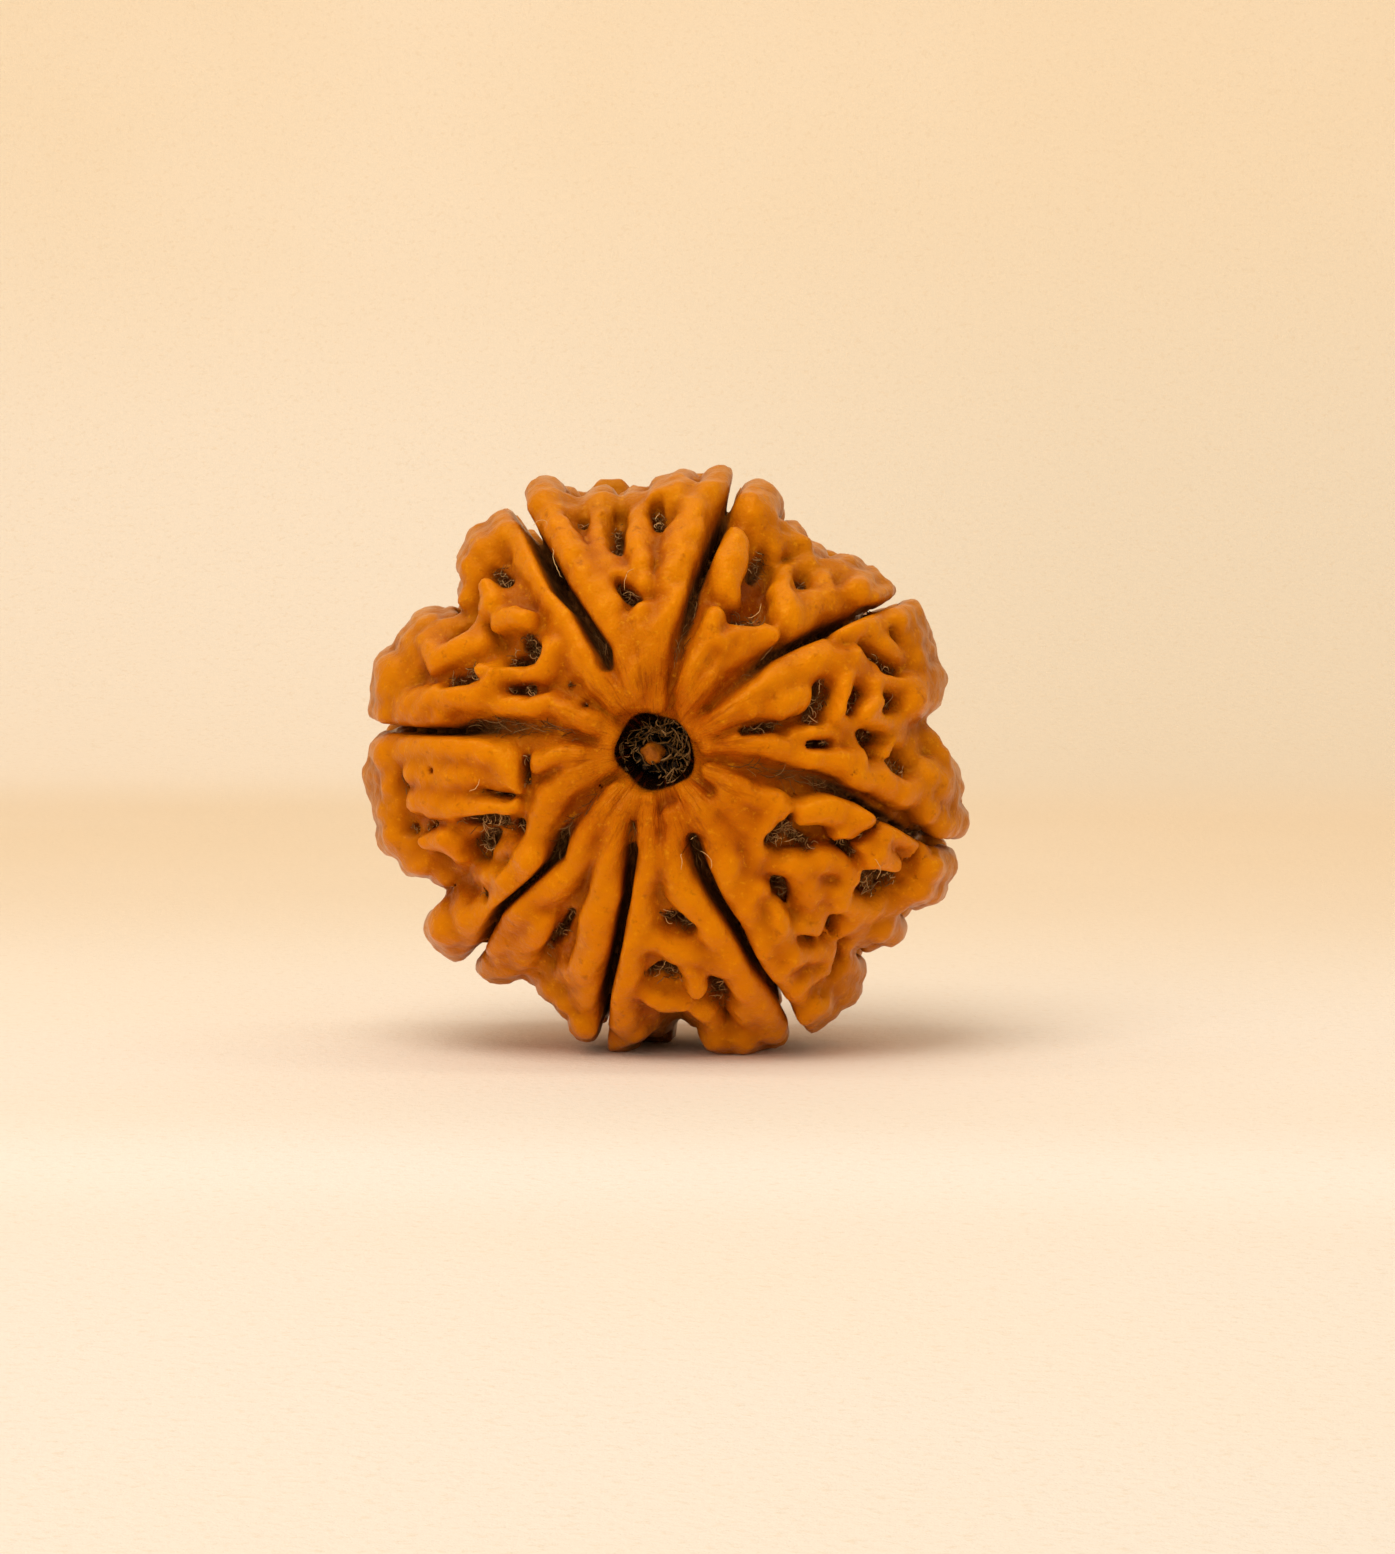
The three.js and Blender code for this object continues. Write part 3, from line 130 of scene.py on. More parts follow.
# The outline of the lobes seen along the hole: bearing in degrees, reach from the hole.
OUTLINE = [
    (0, 10.95), (5, 10.9), (12, 11.75), (20, 11.5), (25, 11.8), (35, 11.1), (45, 10.6), (55, 10.0),
    (62, 10.5), (70, 11.4), (80, 11.5), (90, 11.0), (98, 10.5), (108, 10.8), (116, 11.7), (128, 11.5),
    (136, 11.8), (146, 10.5), (157, 11.9), (166, 12.4), (178, 12.2), (190, 12.65), (200, 12.6),
    (214, 10.4), (222, 12.8), (232, 12.2), (242, 11.5), (250, 12.1), (260, 13.2), (272, 13.1),
    (283, 13.1), (291, 13.4), (303, 13.3), (313, 12.1), (320, 12.4), (335, 12.8), (346, 12.7), (355, 11.9),
]

# The round bulbs that end the ropes on the rim: right of the hole, above it, radius.
BULBS = [
    (10.55, 1.95, .8), (10.75, 2.7, .8), (10.6, 3.8, .55), (10.35, 4.5, .57), (9.95, 5.25, .65),
    (9.05, 6.25, .43), (8.3, 6.6, .65), (7.4, 7, .8), (6, 7.6, .6), (5.1, 8.5, .6), (3.8, 9.85, .95),
    (2.15, 10.65, .75), (.7, 10.7, .55), (-.05, 10.4, .62), (-1.15, 9.95, .6), (-2.75, 9.85, .74),
    (-5.05, 10.05, .88), (-6.6, 8.75, .85), (-7.5, 8.3, .75), (-8.05, 7.5, .66), (-8, 6.3, .62),
    (-9, 5.2, .35), (-9.85, 4.75, .82), (-10.5, 4, .85), (-11.3, 3, .9), (-11.5, 2.2, .8), (-11.6, 1.35, .72),
    (-11.75, -.4, .65), (-11.85, -1.35, .75), (-11.6, -2.2, .7), (-11.4, -2.9, .85), (-11.2, -3.95, .9),
    (-10.4, -4.85, .8), (-9.3, -5.4, .6), (-9.1, -7.7, .93), (-8.75, -8.25, .84), (-7.2, -9.3, .7),
    (-6.6, -9.3, .72), (-5.5, -9.6, .45), (-4.75, -10.2, .6), (-3.95, -10.9, .6), (-3.35, -11.85, .6),
    (-1.85, -12.3, .8),
    (2.4, -12.4, .8), (3.4, -12.35, .8), (4.45, -12, .62), (6.05, -11.4, .6), (6.6, -10.9, .62),
    (7.4, -10.3, .68), (7.65, -9.4, .62), (8.4, -8.1, .5), (9.25, -7.65, .72), (10.35, -6.35, .5),
    (11.0, -5.95, .65), (11.35, -5.2, .62), (11.4, -4.75, .5), (11.85, -3.3, .66), (11.6, -2.95, .7),
    (11.6, -1.9, .64), (11.3, -1.25, .75), (10.2, -.35, .66),
]

# The eight clefts, from the hole outwards: right of the hole, above it, half width, depth.
CLEFTS = [
    [(2.3, 1.9, .15, .7), (3, 2.5, .3, 1), (4, 3.3, .38, 1.3), (5, 4.15, .28, 1.8), (6, 4.6, .25, 2.4),
     (7, 5.1, .3, 2.8), (7.9, 5.5, .28, 3), (8.7, 5.72, .2, 3), (9.4, 5.87, .15, 3)],
    [(.8, 3, .15, .8), (1, 4, .3, 1.2), (1.2, 5, .35, 1.5), (1.5, 6, .35, 1.8), (1.7, 7, .28, 2.2),
     (2.05, 8, .25, 2.6), (2.4, 9, .3, 3), (2.75, 10, .26, 3.2), (3.05, 11, .22, 3.2)],
    [(-1.95, 3.6, .35, 1.6), (-2.1, 4.2, .45, 2), (-2.65, 5, .4, 2.2), (-3.3, 6, .32, 2.5),
     (-4.2, 7, .45, 3), (-4.8, 8, .42, 3.4), (-5.45, 9, .36, 4), (-6.1, 9.95, .34, 4.4)],
    [(-3.3, .65, .25, .9), (-4.3, .9, .5, 1.1), (-5.4, 1, .6, 1.2), (-6.6, 1, .6, 1.4),
     (-7.7, .95, .48, 1.8), (-8.8, .75, .22, 2.6), (-10, .7, .2, 3), (-11.2, .7, .18, 3)],
    [(-2.2, -1.7, .15, .6), (-3.2, -2.7, .25, 1), (-3.9, -3.6, .42, 1.9), (-4.1, -4.3, .45, 2.1),
     (-4.5, -4.8, .25, 2.1), (-5.2, -5.5, .18, 2.3), (-6, -6.2, .2, 2.6), (-6.8, -6.9, .25, 3),
     (-7.35, -7.75, .22, 3), (-7.75, -8.65, .18, 3)],
    [(-.9, -2.9, .15, .9), (-.9, -4, .33, 2), (-1.05, -5, .3, 2.4), (-1.15, -6, .25, 2.7),
     (-1.4, -7, .25, 3), (-1.6, -8, .27, 3.2), (-1.85, -9, .27, 3.2), (-2.15, -10, .27, 3.4),
     (-2.4, -11, .28, 3.4), (-2.5, -12, .22, 3.4)],
    [(1.6, -3.6, .35, 1.9), (1.95, -4.8, .4, 2.3), (2.5, -6, .33, 2.7), (3.1, -7, .25, 2.8),
     (3.65, -8, .24, 3), (4.1, -9, .22, 3), (4.8, -10, .2, 3.2), (5.3, -11, .2, 3.2),
     (5.6, -11.8, .2, 3)],
    [(3.2, -.5, .2, .7), (4.2, -.7, .42, 1), (5.4, -.9, .55, 1.2), (6.6, -1.2, .5, 1.4),
     (7.6, -1.6, .25, 2), (8.6, -2.1, .2, 2.6), (9.5, -2.75, .2, 3), (10.4, -3.35, .2, 3),
     (11.3, -4, .15, 3)],
]

# The lobes, anticlockwise, each between the cleft of its own number and the next. Ridges and pits
# are lines of (right of the hole, above it, half width) as seen from the front.
LOBES = [
    {  # upper right
        "ridges": [
            [(1.15, 1.8, .35), (1.35, 2.8, .4), (1.75, 3.8, .45), (2.2, 4.7, .45), (2.4, 5.5, .3)],
            [(1.25, 1.3, .35), (1.6, 2.1, .4), (2.3, 3.1, .42), (3.1, 3.9, .42), (4, 4.5, .42),
             (4.7, 4.6, .32)],
            [(2.7, 4.3, .35), (3.3, 4.75, .35), (4, 4.95, .35)],
            [(3.1, 6.2, .35), (2.75, 6.8, .5), (2.9, 7.7, .58), (3.15, 8.4, .5), (3.15, 8.7, .35)],
            [(3.9, 10.2, .7), (4.1, 9.6, .9), (4.4, 8.9, .75), (4.6, 8.5, .5)],
            [(5, 9.1, .4), (5.5, 8.7, .45), (5.9, 8.5, .35)],
            [(5.5, 7.6, .5), (6.3, 7.9, .5), (6.9, 7.7, .35)],
            [(5.05, 7, .3), (5.1, 6.3, .4), (5.4, 5.7, .5)],
            [(5.5, 5.3, .65), (6.05, 5.85, .7), (6.9, 6, .65), (7.8, 6.4, .62), (8.5, 6.6, .45)],
            [(6.8, 6.7, .42), (7.1, 7.2, .6), (7.7, 7.4, .55), (8.4, 7, .5)],
        ],
        "pits": [[(4.2, 7.9, .28), (4, 7.4, .3)], [(5.8, 6.75, .25)], [(3.3, 5.3, .25), (4, 5.2, .25)]],
    },
    {  # top
        "ridges": [
            [(-.75, 2.6, .5), (-.95, 3.6, .5), (-1.4, 4.6, .6), (-2, 5.7, .65), (-2.8, 6.8, .55),
             (-3.5, 7.9, .5), (-4.2, 8.9, .5), (-4.7, 9.8, .5), (-4.8, 10.3, .55)],
            [(-4.8, 10.3, .5), (-4.2, 10.35, .45)],
            [(.1, 2, .35), (.05, 3.2, .45), (0, 4.2, .55), (.2, 5, .55), (.6, 5.7, .5), (1, 6.3, .3)],
            [(-.5, 2.4, .4), (-.5, 3.6, .5), (-.6, 4.8, .6), (-.4, 5.6, .45)],
            [(.3, 6.6, .35), (.7, 7.2, .55), (.95, 8.1, .7), (1.1, 8.9, .65), (1.5, 9.6, .5)],
            [(-1.1, 10.4, .45), (-.85, 9.4, .42), (-.8, 8.4, .5), (-.6, 7.4, .45), (-.5, 6.6, .4)],
            [(-2.55, 9.1, .3), (-2.6, 8.4, .4), (-2.3, 7.7, .45), (-1.7, 7.15, .45), (-1, 6.8, .4)],
            [(-4.1, 9.65, .4), (-3.3, 9.85, .33), (-2.5, 9.7, .3), (-2.1, 9.3, .28)],
            [(-3.2, 10.1, .35), (-2.5, 10.3, .45), (-1.7, 10.2, .45), (-1.1, 10.2, .4), (-.4, 10.3, .4)],
            [(.2, 10, .4), (.4, 10.6, .45), (1, 11, .4), (1.5, 10.7, .3)],
            [(1.4, 9.7, .45), (1.9, 10.3, .45), (2.25, 10.8, .4)],
        ],
        "pits": [
            [(-3.5, 9, .22), (-3.2, 9.05, .2)], [(-1.85, 9.15, .2), (-1.75, 8.7, .2), (-1.8, 8.2, .22)],
            [(-.15, 9.6, .28), (0, 9.2, .26)], [(-1.5, 6.75, .15), (-1.1, 6.35, .28), (-.75, 6.1, .22)],
        ],
    },
    {  # upper left
        "ridges": [
            [(-.7, 3, .5), (-.8, 2.1, .5), (-1.4, 2.1, .55), (-2.2, 2.9, .6), (-2.9, 4, .65), (-3.5, 5, .72),
             (-4, 6, .65), (-4.6, 7, .6), (-5.4, 7.9, .6), (-5.9, 8.5, .5)],
            [(-5.4, 8.9, .6), (-6.2, 9, .7), (-7.1, 8.7, .8), (-7.6, 8, .7), (-7.9, 7.3, .5),
             (-7.9, 6.5, .5), (-7.8, 5.9, .4)],
            [(-6.9, 6.5, .3), (-6.7, 5.8, .4)],
            [(-8, 5.4, .5), (-9, 5, .6), (-9.9, 4.5, .7), (-10.6, 3.6, .8), (-10.9, 2.6, .8),
             (-11, 1.7, .7), (-10.6, 1.1, .5)],
            [(-9.4, 4.3, .35), (-9, 3.6, .5), (-8.3, 3.9, .5), (-7.4, 4.2, .55), (-7.1, 4.9, .5),
             (-6.9, 5.6, .4)],
            [(-6.3, 5.1, .35), (-5.6, 5.35, .3), (-5.1, 5.2, .35)],
            [(-7, 3.15, .3), (-6.2, 3.2, .35), (-5.3, 3.1, .3), (-4.5, 3.2, .45), (-4.1, 4.2, .5)],
            [(-10.4, 1.6, .6), (-9.2, 1.9, .5), (-8.3, 2.1, .45), (-7.3, 2.25, .45), (-6.6, 2.55, .4),
             (-6.3, 3, .3)],
            [(-7, 2.1, .4), (-6.1, 1.85, .45), (-5, 1.75, .4), (-4.1, 1.95, .45), (-3.3, 1.55, .45),
             (-2.4, 1.15, .5), (-1.75, .75, .45)],
            [(-11, 1.1, .5), (-9.8, 1.2, .45), (-8.8, 1.4, .4)],
        ],
        "pits": [
            [(-6.9, 7.2, .3), (-6.4, 6.9, .3)], [(-5.3, 4.4, .42), (-4.9, 4, .42), (-5.9, 3.6, .3)],
            [(-8.5, 2.75, .3), (-7.6, 2.95, .35)], [(-5.8, 2.5, .25), (-5.1, 2.5, .25)],
            [(-3.4, 2.7, .12)], [(-2.8, 1.9, .12)],
        ],
    },
    {  # left
        "ridges": [
            [(-10.9, -.2, .5), (-9.9, 0, .5), (-8.8, .2, .45), (-7.8, .1, .45), (-6.8, -.1, .5),
             (-6, -.4, .55), (-5.6, -1, .5)],
            [(-10, -1, .5), (-9.2, -1.1, .7), (-8.3, -1.2, .65), (-7.4, -.9, .55), (-6.4, -.9, .6)],
            [(-1.9, .2, .4), (-2.9, 0, .4), (-3.9, -.15, .4), (-4.6, -.4, .4)],
            [(-1.6, -.4, .4), (-2.3, -.5, .5), (-3.3, -1, .6), (-4.1, -1.7, .6), (-4.6, -2.6, .5),
             (-4.8, -3.5, .45), (-4.9, -4.4, .5)],
            [(-10, -2.2, .4), (-9.3, -2.1, .6), (-8.4, -2.2, .6), (-7.6, -2.4, .45), (-6.6, -2.3, .35),
             (-5.6, -2.2, .3)],
            [(-11, 0, .5), (-11.5, -.8, .6), (-11.3, -1.7, .55)],
            [(-11.3, -2.5, .5), (-11.4, -3.3, .55), (-10.9, -4.1, .55)],
            [(-10.8, -4.2, .6), (-9.8, -4.4, .65), (-8.9, -4.8, .6), (-8.4, -5.4, .45)],
            [(-9.4, -3.8, .4), (-8.6, -3.7, .45), (-8, -4.2, .4), (-7.9, -4.9, .45)],
            [(-6.4, -4.1, .5), (-5.6, -4, .45), (-5, -4.4, .45)],
            [(-5.2, -4.7, .5), (-5.9, -5.3, .5), (-6.8, -5.2, .45), (-7.6, -5.2, .4)],
            [(-5.9, -5.6, .4), (-6.6, -6.3, .4), (-7.3, -7, .5), (-8, -7.5, .6), (-8.3, -7.9, .5)],
            [(-7.9, -5.5, .4), (-8, -6.3, .45), (-8, -7, .5)],
            [(-8.9, -7.1, .6), (-8.8, -7.7, .65)],
        ],
        "pits": [
            [(-9.1, -.88, .14)], [(-10.5, -1.7, .25)], [(-10.3, -3.5, .22)],
            [(-9.2, -3.1, .12), (-9.6, -3.4, .12)], [(-7, -1.65, .07), (-6.4, -1.8, .11), (-5.8, -1.85, .08)],
            [(-5.2, -.3, .14), (-5.2, -1.3, .14)],
            [(-8, -2.95, .15), (-7.2, -2.95, .35), (-6.4, -2.9, .4), (-5.6, -3.1, .35)],
            [(-6.8, -3.5, .42), (-7.3, -4.1, .45)], [(-7.1, -6.1, .18)],
        ],
    },
    {  # lower left
        "ridges": [
            [(-1.3, -1.4, .4), (-2, -2.2, .5), (-2.7, -3.2, .5), (-3.1, -4.1, .5), (-3.7, -5, .55),
             (-4.6, -5.7, .6), (-5.5, -6.5, .6), (-6.1, -7.2, .5), (-6.4, -7.9, .5), (-7, -8.4, .5),
             (-7, -9.1, .4), (-6.2, -9.4, .35)],
            [(-4.8, -6.8, .5), (-5.2, -7.7, .6), (-5.8, -8.5, .55), (-6.6, -8.8, .4)],
            [(-.9, -1.8, .4), (-1.5, -3, .5), (-1.7, -4.2, .5), (-1.9, -5.4, .6), (-2.2, -6.6, .6),
             (-2.5, -7.6, .6), (-2.8, -8.8, .55), (-3, -9.8, .5), (-2.9, -10.8, .45), (-2.6, -11.7, .4)],
            [(-4.8, -9.1, .45), (-4.3, -9.6, .45), (-3.6, -9.3, .45)],
            [(-4.2, -10.2, .3)],
            [(-3.4, -9.3, .4), (-3.4, -10.2, .45), (-3.1, -11, .45), (-2.8, -11.7, .35)],
        ],
        "pits": [[(-3.5, -6.7, .16), (-4, -7.6, .26), (-4.7, -8.4, .2)]],
    },
    {  # bottom
        "ridges": [
            [(-.2, -2, .4), (-.2, -3.4, .5), (-.3, -4.8, .55), (-.6, -6, .5), (-.9, -7.2, .5),
             (-1.1, -8.2, .5), (-1.3, -9.3, .5), (-1.5, -10.4, .5), (-1.5, -11.5, .55), (-1.4, -12.3, .6)],
            [(.8, -2.6, .5), (.7, -4, .55), (1, -5.2, .6), (1.7, -6.2, .6), (2.4, -7.2, .6),
             (3, -8.3, .6), (3.5, -9.3, .55), (4.1, -10.3, .55), (4.6, -11.2, .5), (4.8, -11.9, .4)],
            [(-.8, -7.6, .45), (.2, -7.8, .5), (1.3, -8.2, .55), (2.4, -8.4, .55), (3.2, -8.8, .5)],
            [(1.35, -8.9, .35), (1.6, -9.7, .35)],
            [(-.6, -10, .35), (.2, -10.4, .45), (1.2, -10.4, .4), (2, -10.9, .4), (2.2, -11.7, .45),
             (2.8, -12.3, .5), (3.6, -12.4, .45)],
            [(3.3, -10.6, .4), (3.7, -11.3, .55), (4.4, -11.8, .5), (4.9, -12.3, .4)],
        ],
        "pits": [
            [(.6, -6.85, .3), (1.4, -7.1, .3)],
            [(-.3, -9.3, .22), (.2, -9, .3), (.6, -9.3, .32)],
            [(2.4, -9.8, .3), (2.6, -10.4, .3)],
        ],
    },
    {  # lower right
        "ridges": [
            [(1.2, -1.4, .45), (1.9, -2.2, .6), (2.6, -3.2, .7), (2.9, -4.4, .7), (3.2, -5.4, .6),
             (3.7, -6.2, .5), (4.1, -7, .45), (4.4, -8, .45), (4.9, -8.9, .5), (5.4, -9.6, .5),
             (5.9, -10.6, .45), (6.1, -11.3, .4)],
            [(3, -2, .6), (3.7, -2.9, .6), (4, -3.8, .5), (3.9, -4.5, .5)],
            [(3.6, -5.2, .5), (4.4, -5.5, .3)],
            [(2.2, -.7, .35), (3, -1.2, .45), (4, -1.7, .5), (4.9, -2.1, .5), (5.2, -2.3, .4)],
            [(4.6, -2.4, .5), (4.3, -3.2, .45), (4.2, -4, .4)],
            [(6, -2.4, .4), (6.8, -2.3, .5), (7.7, -2.4, .5), (8.5, -2.7, .4)],
            [(7.9, -2.8, .45), (7.5, -3.3, .35)],
            [(8.3, -3.9, .35), (8.9, -3.5, .5), (9.6, -3.5, .45), (10.1, -3.8, .3)],
            [(8.6, -4.3, .4), (8.9, -4.2, .5), (9.3, -4.6, .45)],
            [(4.8, -4.6, .35), (5.7, -4.6, .45), (6.6, -4.4, .5), (7.4, -4.6, .5), (7.9, -5.1, .45),
             (7.5, -5.6, .4), (6.8, -5.6, .4)],
            [(5.8, -4.8, .5), (6.2, -5.8, .6), (6.3, -6.6, .6), (6.2, -7.1, .5), (5.8, -7, .4)],
            [(4.7, -6.2, .3), (5, -7, .38), (5, -7.8, .42), (5.5, -8.4, .5)],
            [(5.2, -8.4, .45), (6, -8.3, .5), (6.7, -8.4, .45), (6.6, -9.1, .45), (5.9, -9.4, .5)],
            [(7, -7.3, .4), (7.7, -7, .5), (8, -7.7, .45), (7.7, -8.4, .35)],
            [(6, -10.2, .45), (6.8, -10.1, .4), (7.5, -9.6, .45), (7.9, -9, .4)],
            [(7.5, -10.2, .4), (6.7, -10.8, .45), (6.2, -11.3, .4)],
            [(7.4, -6.2, .4), (8.3, -6.6, .5), (9.2, -6.5, .5), (9.9, -6.7, .4)],
            [(8.4, -7.4, .45), (9.2, -7.6, .45), (9.9, -7.3, .4)],
            [(10.4, -4.3, .5), (11, -4.6, .5), (10.8, -5.3, .5), (10.1, -5.8, .45)],
        ],
        "pits": [
            [(4.7, -3.5, .35), (5.1, -3.2, .3)], [(5.7, -3.5, .25), (6.2, -3.8, .25)],
            [(4.9, -5.4, .25), (5.2, -5.75, .22)], [(5.8, -7.6, .18), (6.2, -7.7, .18)],
            [(8.5, -5.1, .35), (9.2, -5.3, .45), (9.6, -5.4, .3)], [(8.6, -5.4, .3), (8.7, -5.8, .3)],
            [(7.5, -3.7, .2), (8, -4.2, .2)], [(7.2, -8.7, .2)],
            [(7.75, -3.85, .13), (8.3, -3.5, .1), (8.95, -3.05, .09)],
            [(10.15, -4.6, .12), (10.35, -4.1, .1), (10.55, -3.75, .09)],
            [(5.45, -2.55, .12), (5.35, -3.1, .2)], [(6.95, -7.3, .16), (7.15, -6.7, .12)],
            [(6.5, -9.8, .18), (7.1, -9.5, .15)],
        ],
    },
    {  # right
        "ridges": [
            [(1.8, .9, .4), (2.6, 1.3, .5), (3.6, 2, .6), (4.7, 2.7, .8), (5.8, 3.3, .8), (6.9, 3.7, .7),
             (7.9, 3.6, .65), (8.6, 3.1, .5), (8.9, 2.8, .35)],
            [(4, 1.7, .4), (5, 2, .55), (5.8, 2.3, .5)],
            [(7.4, 4.7, .35), (8.3, 4.9, .42), (9.2, 5.2, .48), (9.9, 5.5, .45), (10.4, 5.2, .5),
             (10.5, 4.5, .45)],
            [(8.7, 4.6, .45), (9.2, 4.2, .4), (9.7, 3.8, .35), (10.4, 3.6, .35), (10.9, 3.3, .3)],
            [(9.4, 2.65, .3), (10.1, 2.6, .45), (10.6, 2.3, .45)],
            [(8.65, 2.6, .33), (8.8, 2, .28), (8.3, 1.5, .35), (8.9, 1.1, .4), (9.8, 1.05, .45),
             (10.5, 1.5, .5)],
            [(7.6, 3, .35), (7.5, 2.2, .28), (7.3, 1.5, .3), (7.7, 1.1, .35)],
            [(2.3, .2, .35), (3.2, .45, .45), (4.3, .4, .45), (5.3, .15, .45), (6.3, -.25, .45),
             (7.3, -.35, .45), (8.1, -.5, .4)],
            [(5.6, .7, .3), (6.3, .8, .25), (7.1, .7, .28), (7.7, .4, .3), (8, 0, .35)],
            [(8, -1, .45), (8.9, -1.1, .5), (9.8, -1.7, .5), (10.6, -1.9, .55), (11.1, -2.6, .45)],
            [(8.9, -.1, .25), (9.1, .3, .28), (9.7, .3, .35), (10.4, .2, .45), (10.8, -.2, .45)],
            [(10.9, 3.8, .4), (11.2, 3, .5), (11.2, 2.3, .5), (10.9, 1.5, .5), (10.6, .9, .4)],
            [(10.8, .9, .4), (11.4, .3, .45), (11.9, -.4, .45)],
            [(10.9, -1.2, .3), (11.5, -1.5, .35), (12, -1.3, .4)],
            [(12, -2.2, .5), (12, -2.6, .5)],
        ],
        "pits": [
            [(9.55, 4.9, .12), (9.6, 4.4, .15)], [(9, 3.6, .22), (9.5, 3.1, .28)], [(9.2, 1.8, .38)],
            [(8.1, 2.4, .18), (7.85, 1.8, .25)], [(6.7, 2.7, .25), (6.6, 2.1, .25), (6.4, 1.4, .28)],
            [(3.6, .85, .15), (4.2, .95, .22), (4.8, 1.05, .2)], [(6.1, .3, .15), (6.9, .3, .15)],
            [(8.3, .35, .22), (8.8, .45, .22)], [(9.4, -.5, .2), (9.9, -1, .25)],
        ],
    },
]

# How far each cleft leans as it crosses the rim, in degrees for each millimetre to the back.
RIM_LEAN = [0, 0.3, 0.3, 0, 0, 0, -0.43, 0]
# Half width of each cleft where it crosses the rim.
RIM_GAP = [0.1, 0.16, 0.36, 0.12, 0.1, 0.2, 0.24, 0.12]
# The gap between the two feet: bearing, lean, half width, depth.
FOOT_GAP = (-87.7, 0.2, 0.72, 1.5)
# Where a cleft and the gap are worked out as they cross the rim, behind the middle plane.
CLEFT_RIM_STOPS = (-3.2, -1.6, 0, 1.6, 3.2)
FOOT_GAP_STOPS = (-4.6, -2.5, 0, 2.5, 4.6)

# Which front lobe's net each lobe wears again on the back, turned over.
BACK_NET = [5, 7, 6, 1, 0, 4, 2, 3]

# A bulb's rope: where it starts on the front and how far in, where it is on the rim, where it ends.
BULB_FRONT, BULB_LEAN = -3.4, 0.955
BULB_SHOULDER, BULB_BACK = -1.6, -0.3
# The rope that ends the left foot at the back.
BACK_LEG = [(-0.7, 1.2, -12), (-0.55, 2.6, -11.9)]
BACK_LEG_RADIUS = 0.8

# The knobs behind the bulbs, between the front net and the back net.
RIM_ROW = 1.7
RIM_SPACING = 1.9
RIM_MARGIN = 0.95
RIM_HALF_LENGTH = 0.55
RIM_RADIUS = 0.72

# The view: degrees round and up, millimetres away, the photograph's pixels for each millimetre and
# over its height, and how far the hole is left of and above its middle, in pixels.
VIEW_TURN, VIEW_CLIMB = 4.0, 4.0
VIEW_DISTANCE = 220.0
PIXELS_PER_MM = 24.16
PICTURE_HEIGHT = 1554
HOLE_LEFT, HOLE_ABOVE = 28.5, 38.0
SENSOR_MM = 36.0

BEARINGS = np.array([b for b, _ in OUTLINE] + [360.0])
REACHES = np.array([r for _, r in OUTLINE] + [OUTLINE[0][1]])


def outline_reach(degrees):
    """Reach of the outline at bearings, eased from one listed bearing to the next."""
    bearing = np.mod(degrees, 360.0)
    i = np.clip(np.searchsorted(BEARINGS, bearing, side="right") - 1, 0, len(OUTLINE) - 1)
    t = (bearing - BEARINGS[i]) / (BEARINGS[i + 1] - BEARINGS[i])
    t = t * t * (3 - 2 * t)
    return REACHES[i] * (1 - t) + REACHES[i + 1] * t


def bearing_of(x, z):
    return np.degrees(np.arctan2(z, x))


def unit(vectors):
    return vectors / np.linalg.norm(vectors, axis=-1, keepdims=True)


def funnel(rho):
    return FUNNEL_DEPTH * np.exp(-((rho / FUNNEL_REACH) ** 2))


def skin(p):
    """Height over the smooth skin, and the skin's outward direction."""
    x, y, z = p[..., 0], p[..., 1], p[..., 2]
    rho = np.maximum(np.hypot(x, z), 1e-6)
    reach = outline_reach(bearing_of(x, z))
    across = rho / reach
    along = (np.abs(y) + funnel(rho)) / HALF_THICKNESS
    gauge = (across**PROFILE_POWER + along**PROFILE_POWER) ** (1 / PROFILE_POWER)
    ease = gauge ** (1 - PROFILE_POWER)
    outward = ease * across ** (PROFILE_POWER - 1) / reach
    forward = ease * along ** (PROFILE_POWER - 1) / HALF_THICKNESS
    slope = np.hypot(outward, forward)
    normal = np.stack([outward * x / rho, forward * np.sign(y), outward * z / rho], -1)
    return (gauge - 1) / slope, unit(normal)


def face_point(x, z, side):
    """A point of the skin over a place on the front (side -1) or the back (side 1)."""
    rho = math.hypot(x, z)
    share = min(rho / float(outline_reach(bearing_of(x, z))), 0.97)
    y = HALF_THICKNESS * (1 - share**PROFILE_POWER) ** (1 / PROFILE_POWER) - float(funnel(rho))
    return np.array([x, side * y, z])


def seen_point(x, z, side):
    """The skin point under which a ridge or pit has to lie to be seen at a place from the front."""
    normal = skin(face_point(x, z, side))[1]
    rho = math.hypot(x, z)
    room = max(0.0, SEEN_LIMIT * float(outline_reach(bearing_of(x, z))) - rho)
    shift = min(SEEN_DEPTH * math.hypot(normal[0], normal[2]), room) * np.sign(normal[0] * x + normal[2] * z)
    return face_point(x * (1 + shift / rho), z * (1 + shift / rho), side)


def rim_point(degrees, y):
    """A point of the skin on the rim, at a bearing and a distance behind the middle plane."""
    share = abs(y) / HALF_THICKNESS
    rho = float(outline_reach(degrees)) * (1 - share**PROFILE_POWER) ** (1 / PROFILE_POWER)
    angle = math.radians(degrees)
    return np.array([rho * math.cos(angle), y, rho * math.sin(angle)])


def from_twenty(degrees):
    """The same bearing between 20 and 380 degrees, where the first cleft comes first."""
    return (degrees - 20) % 360 + 20


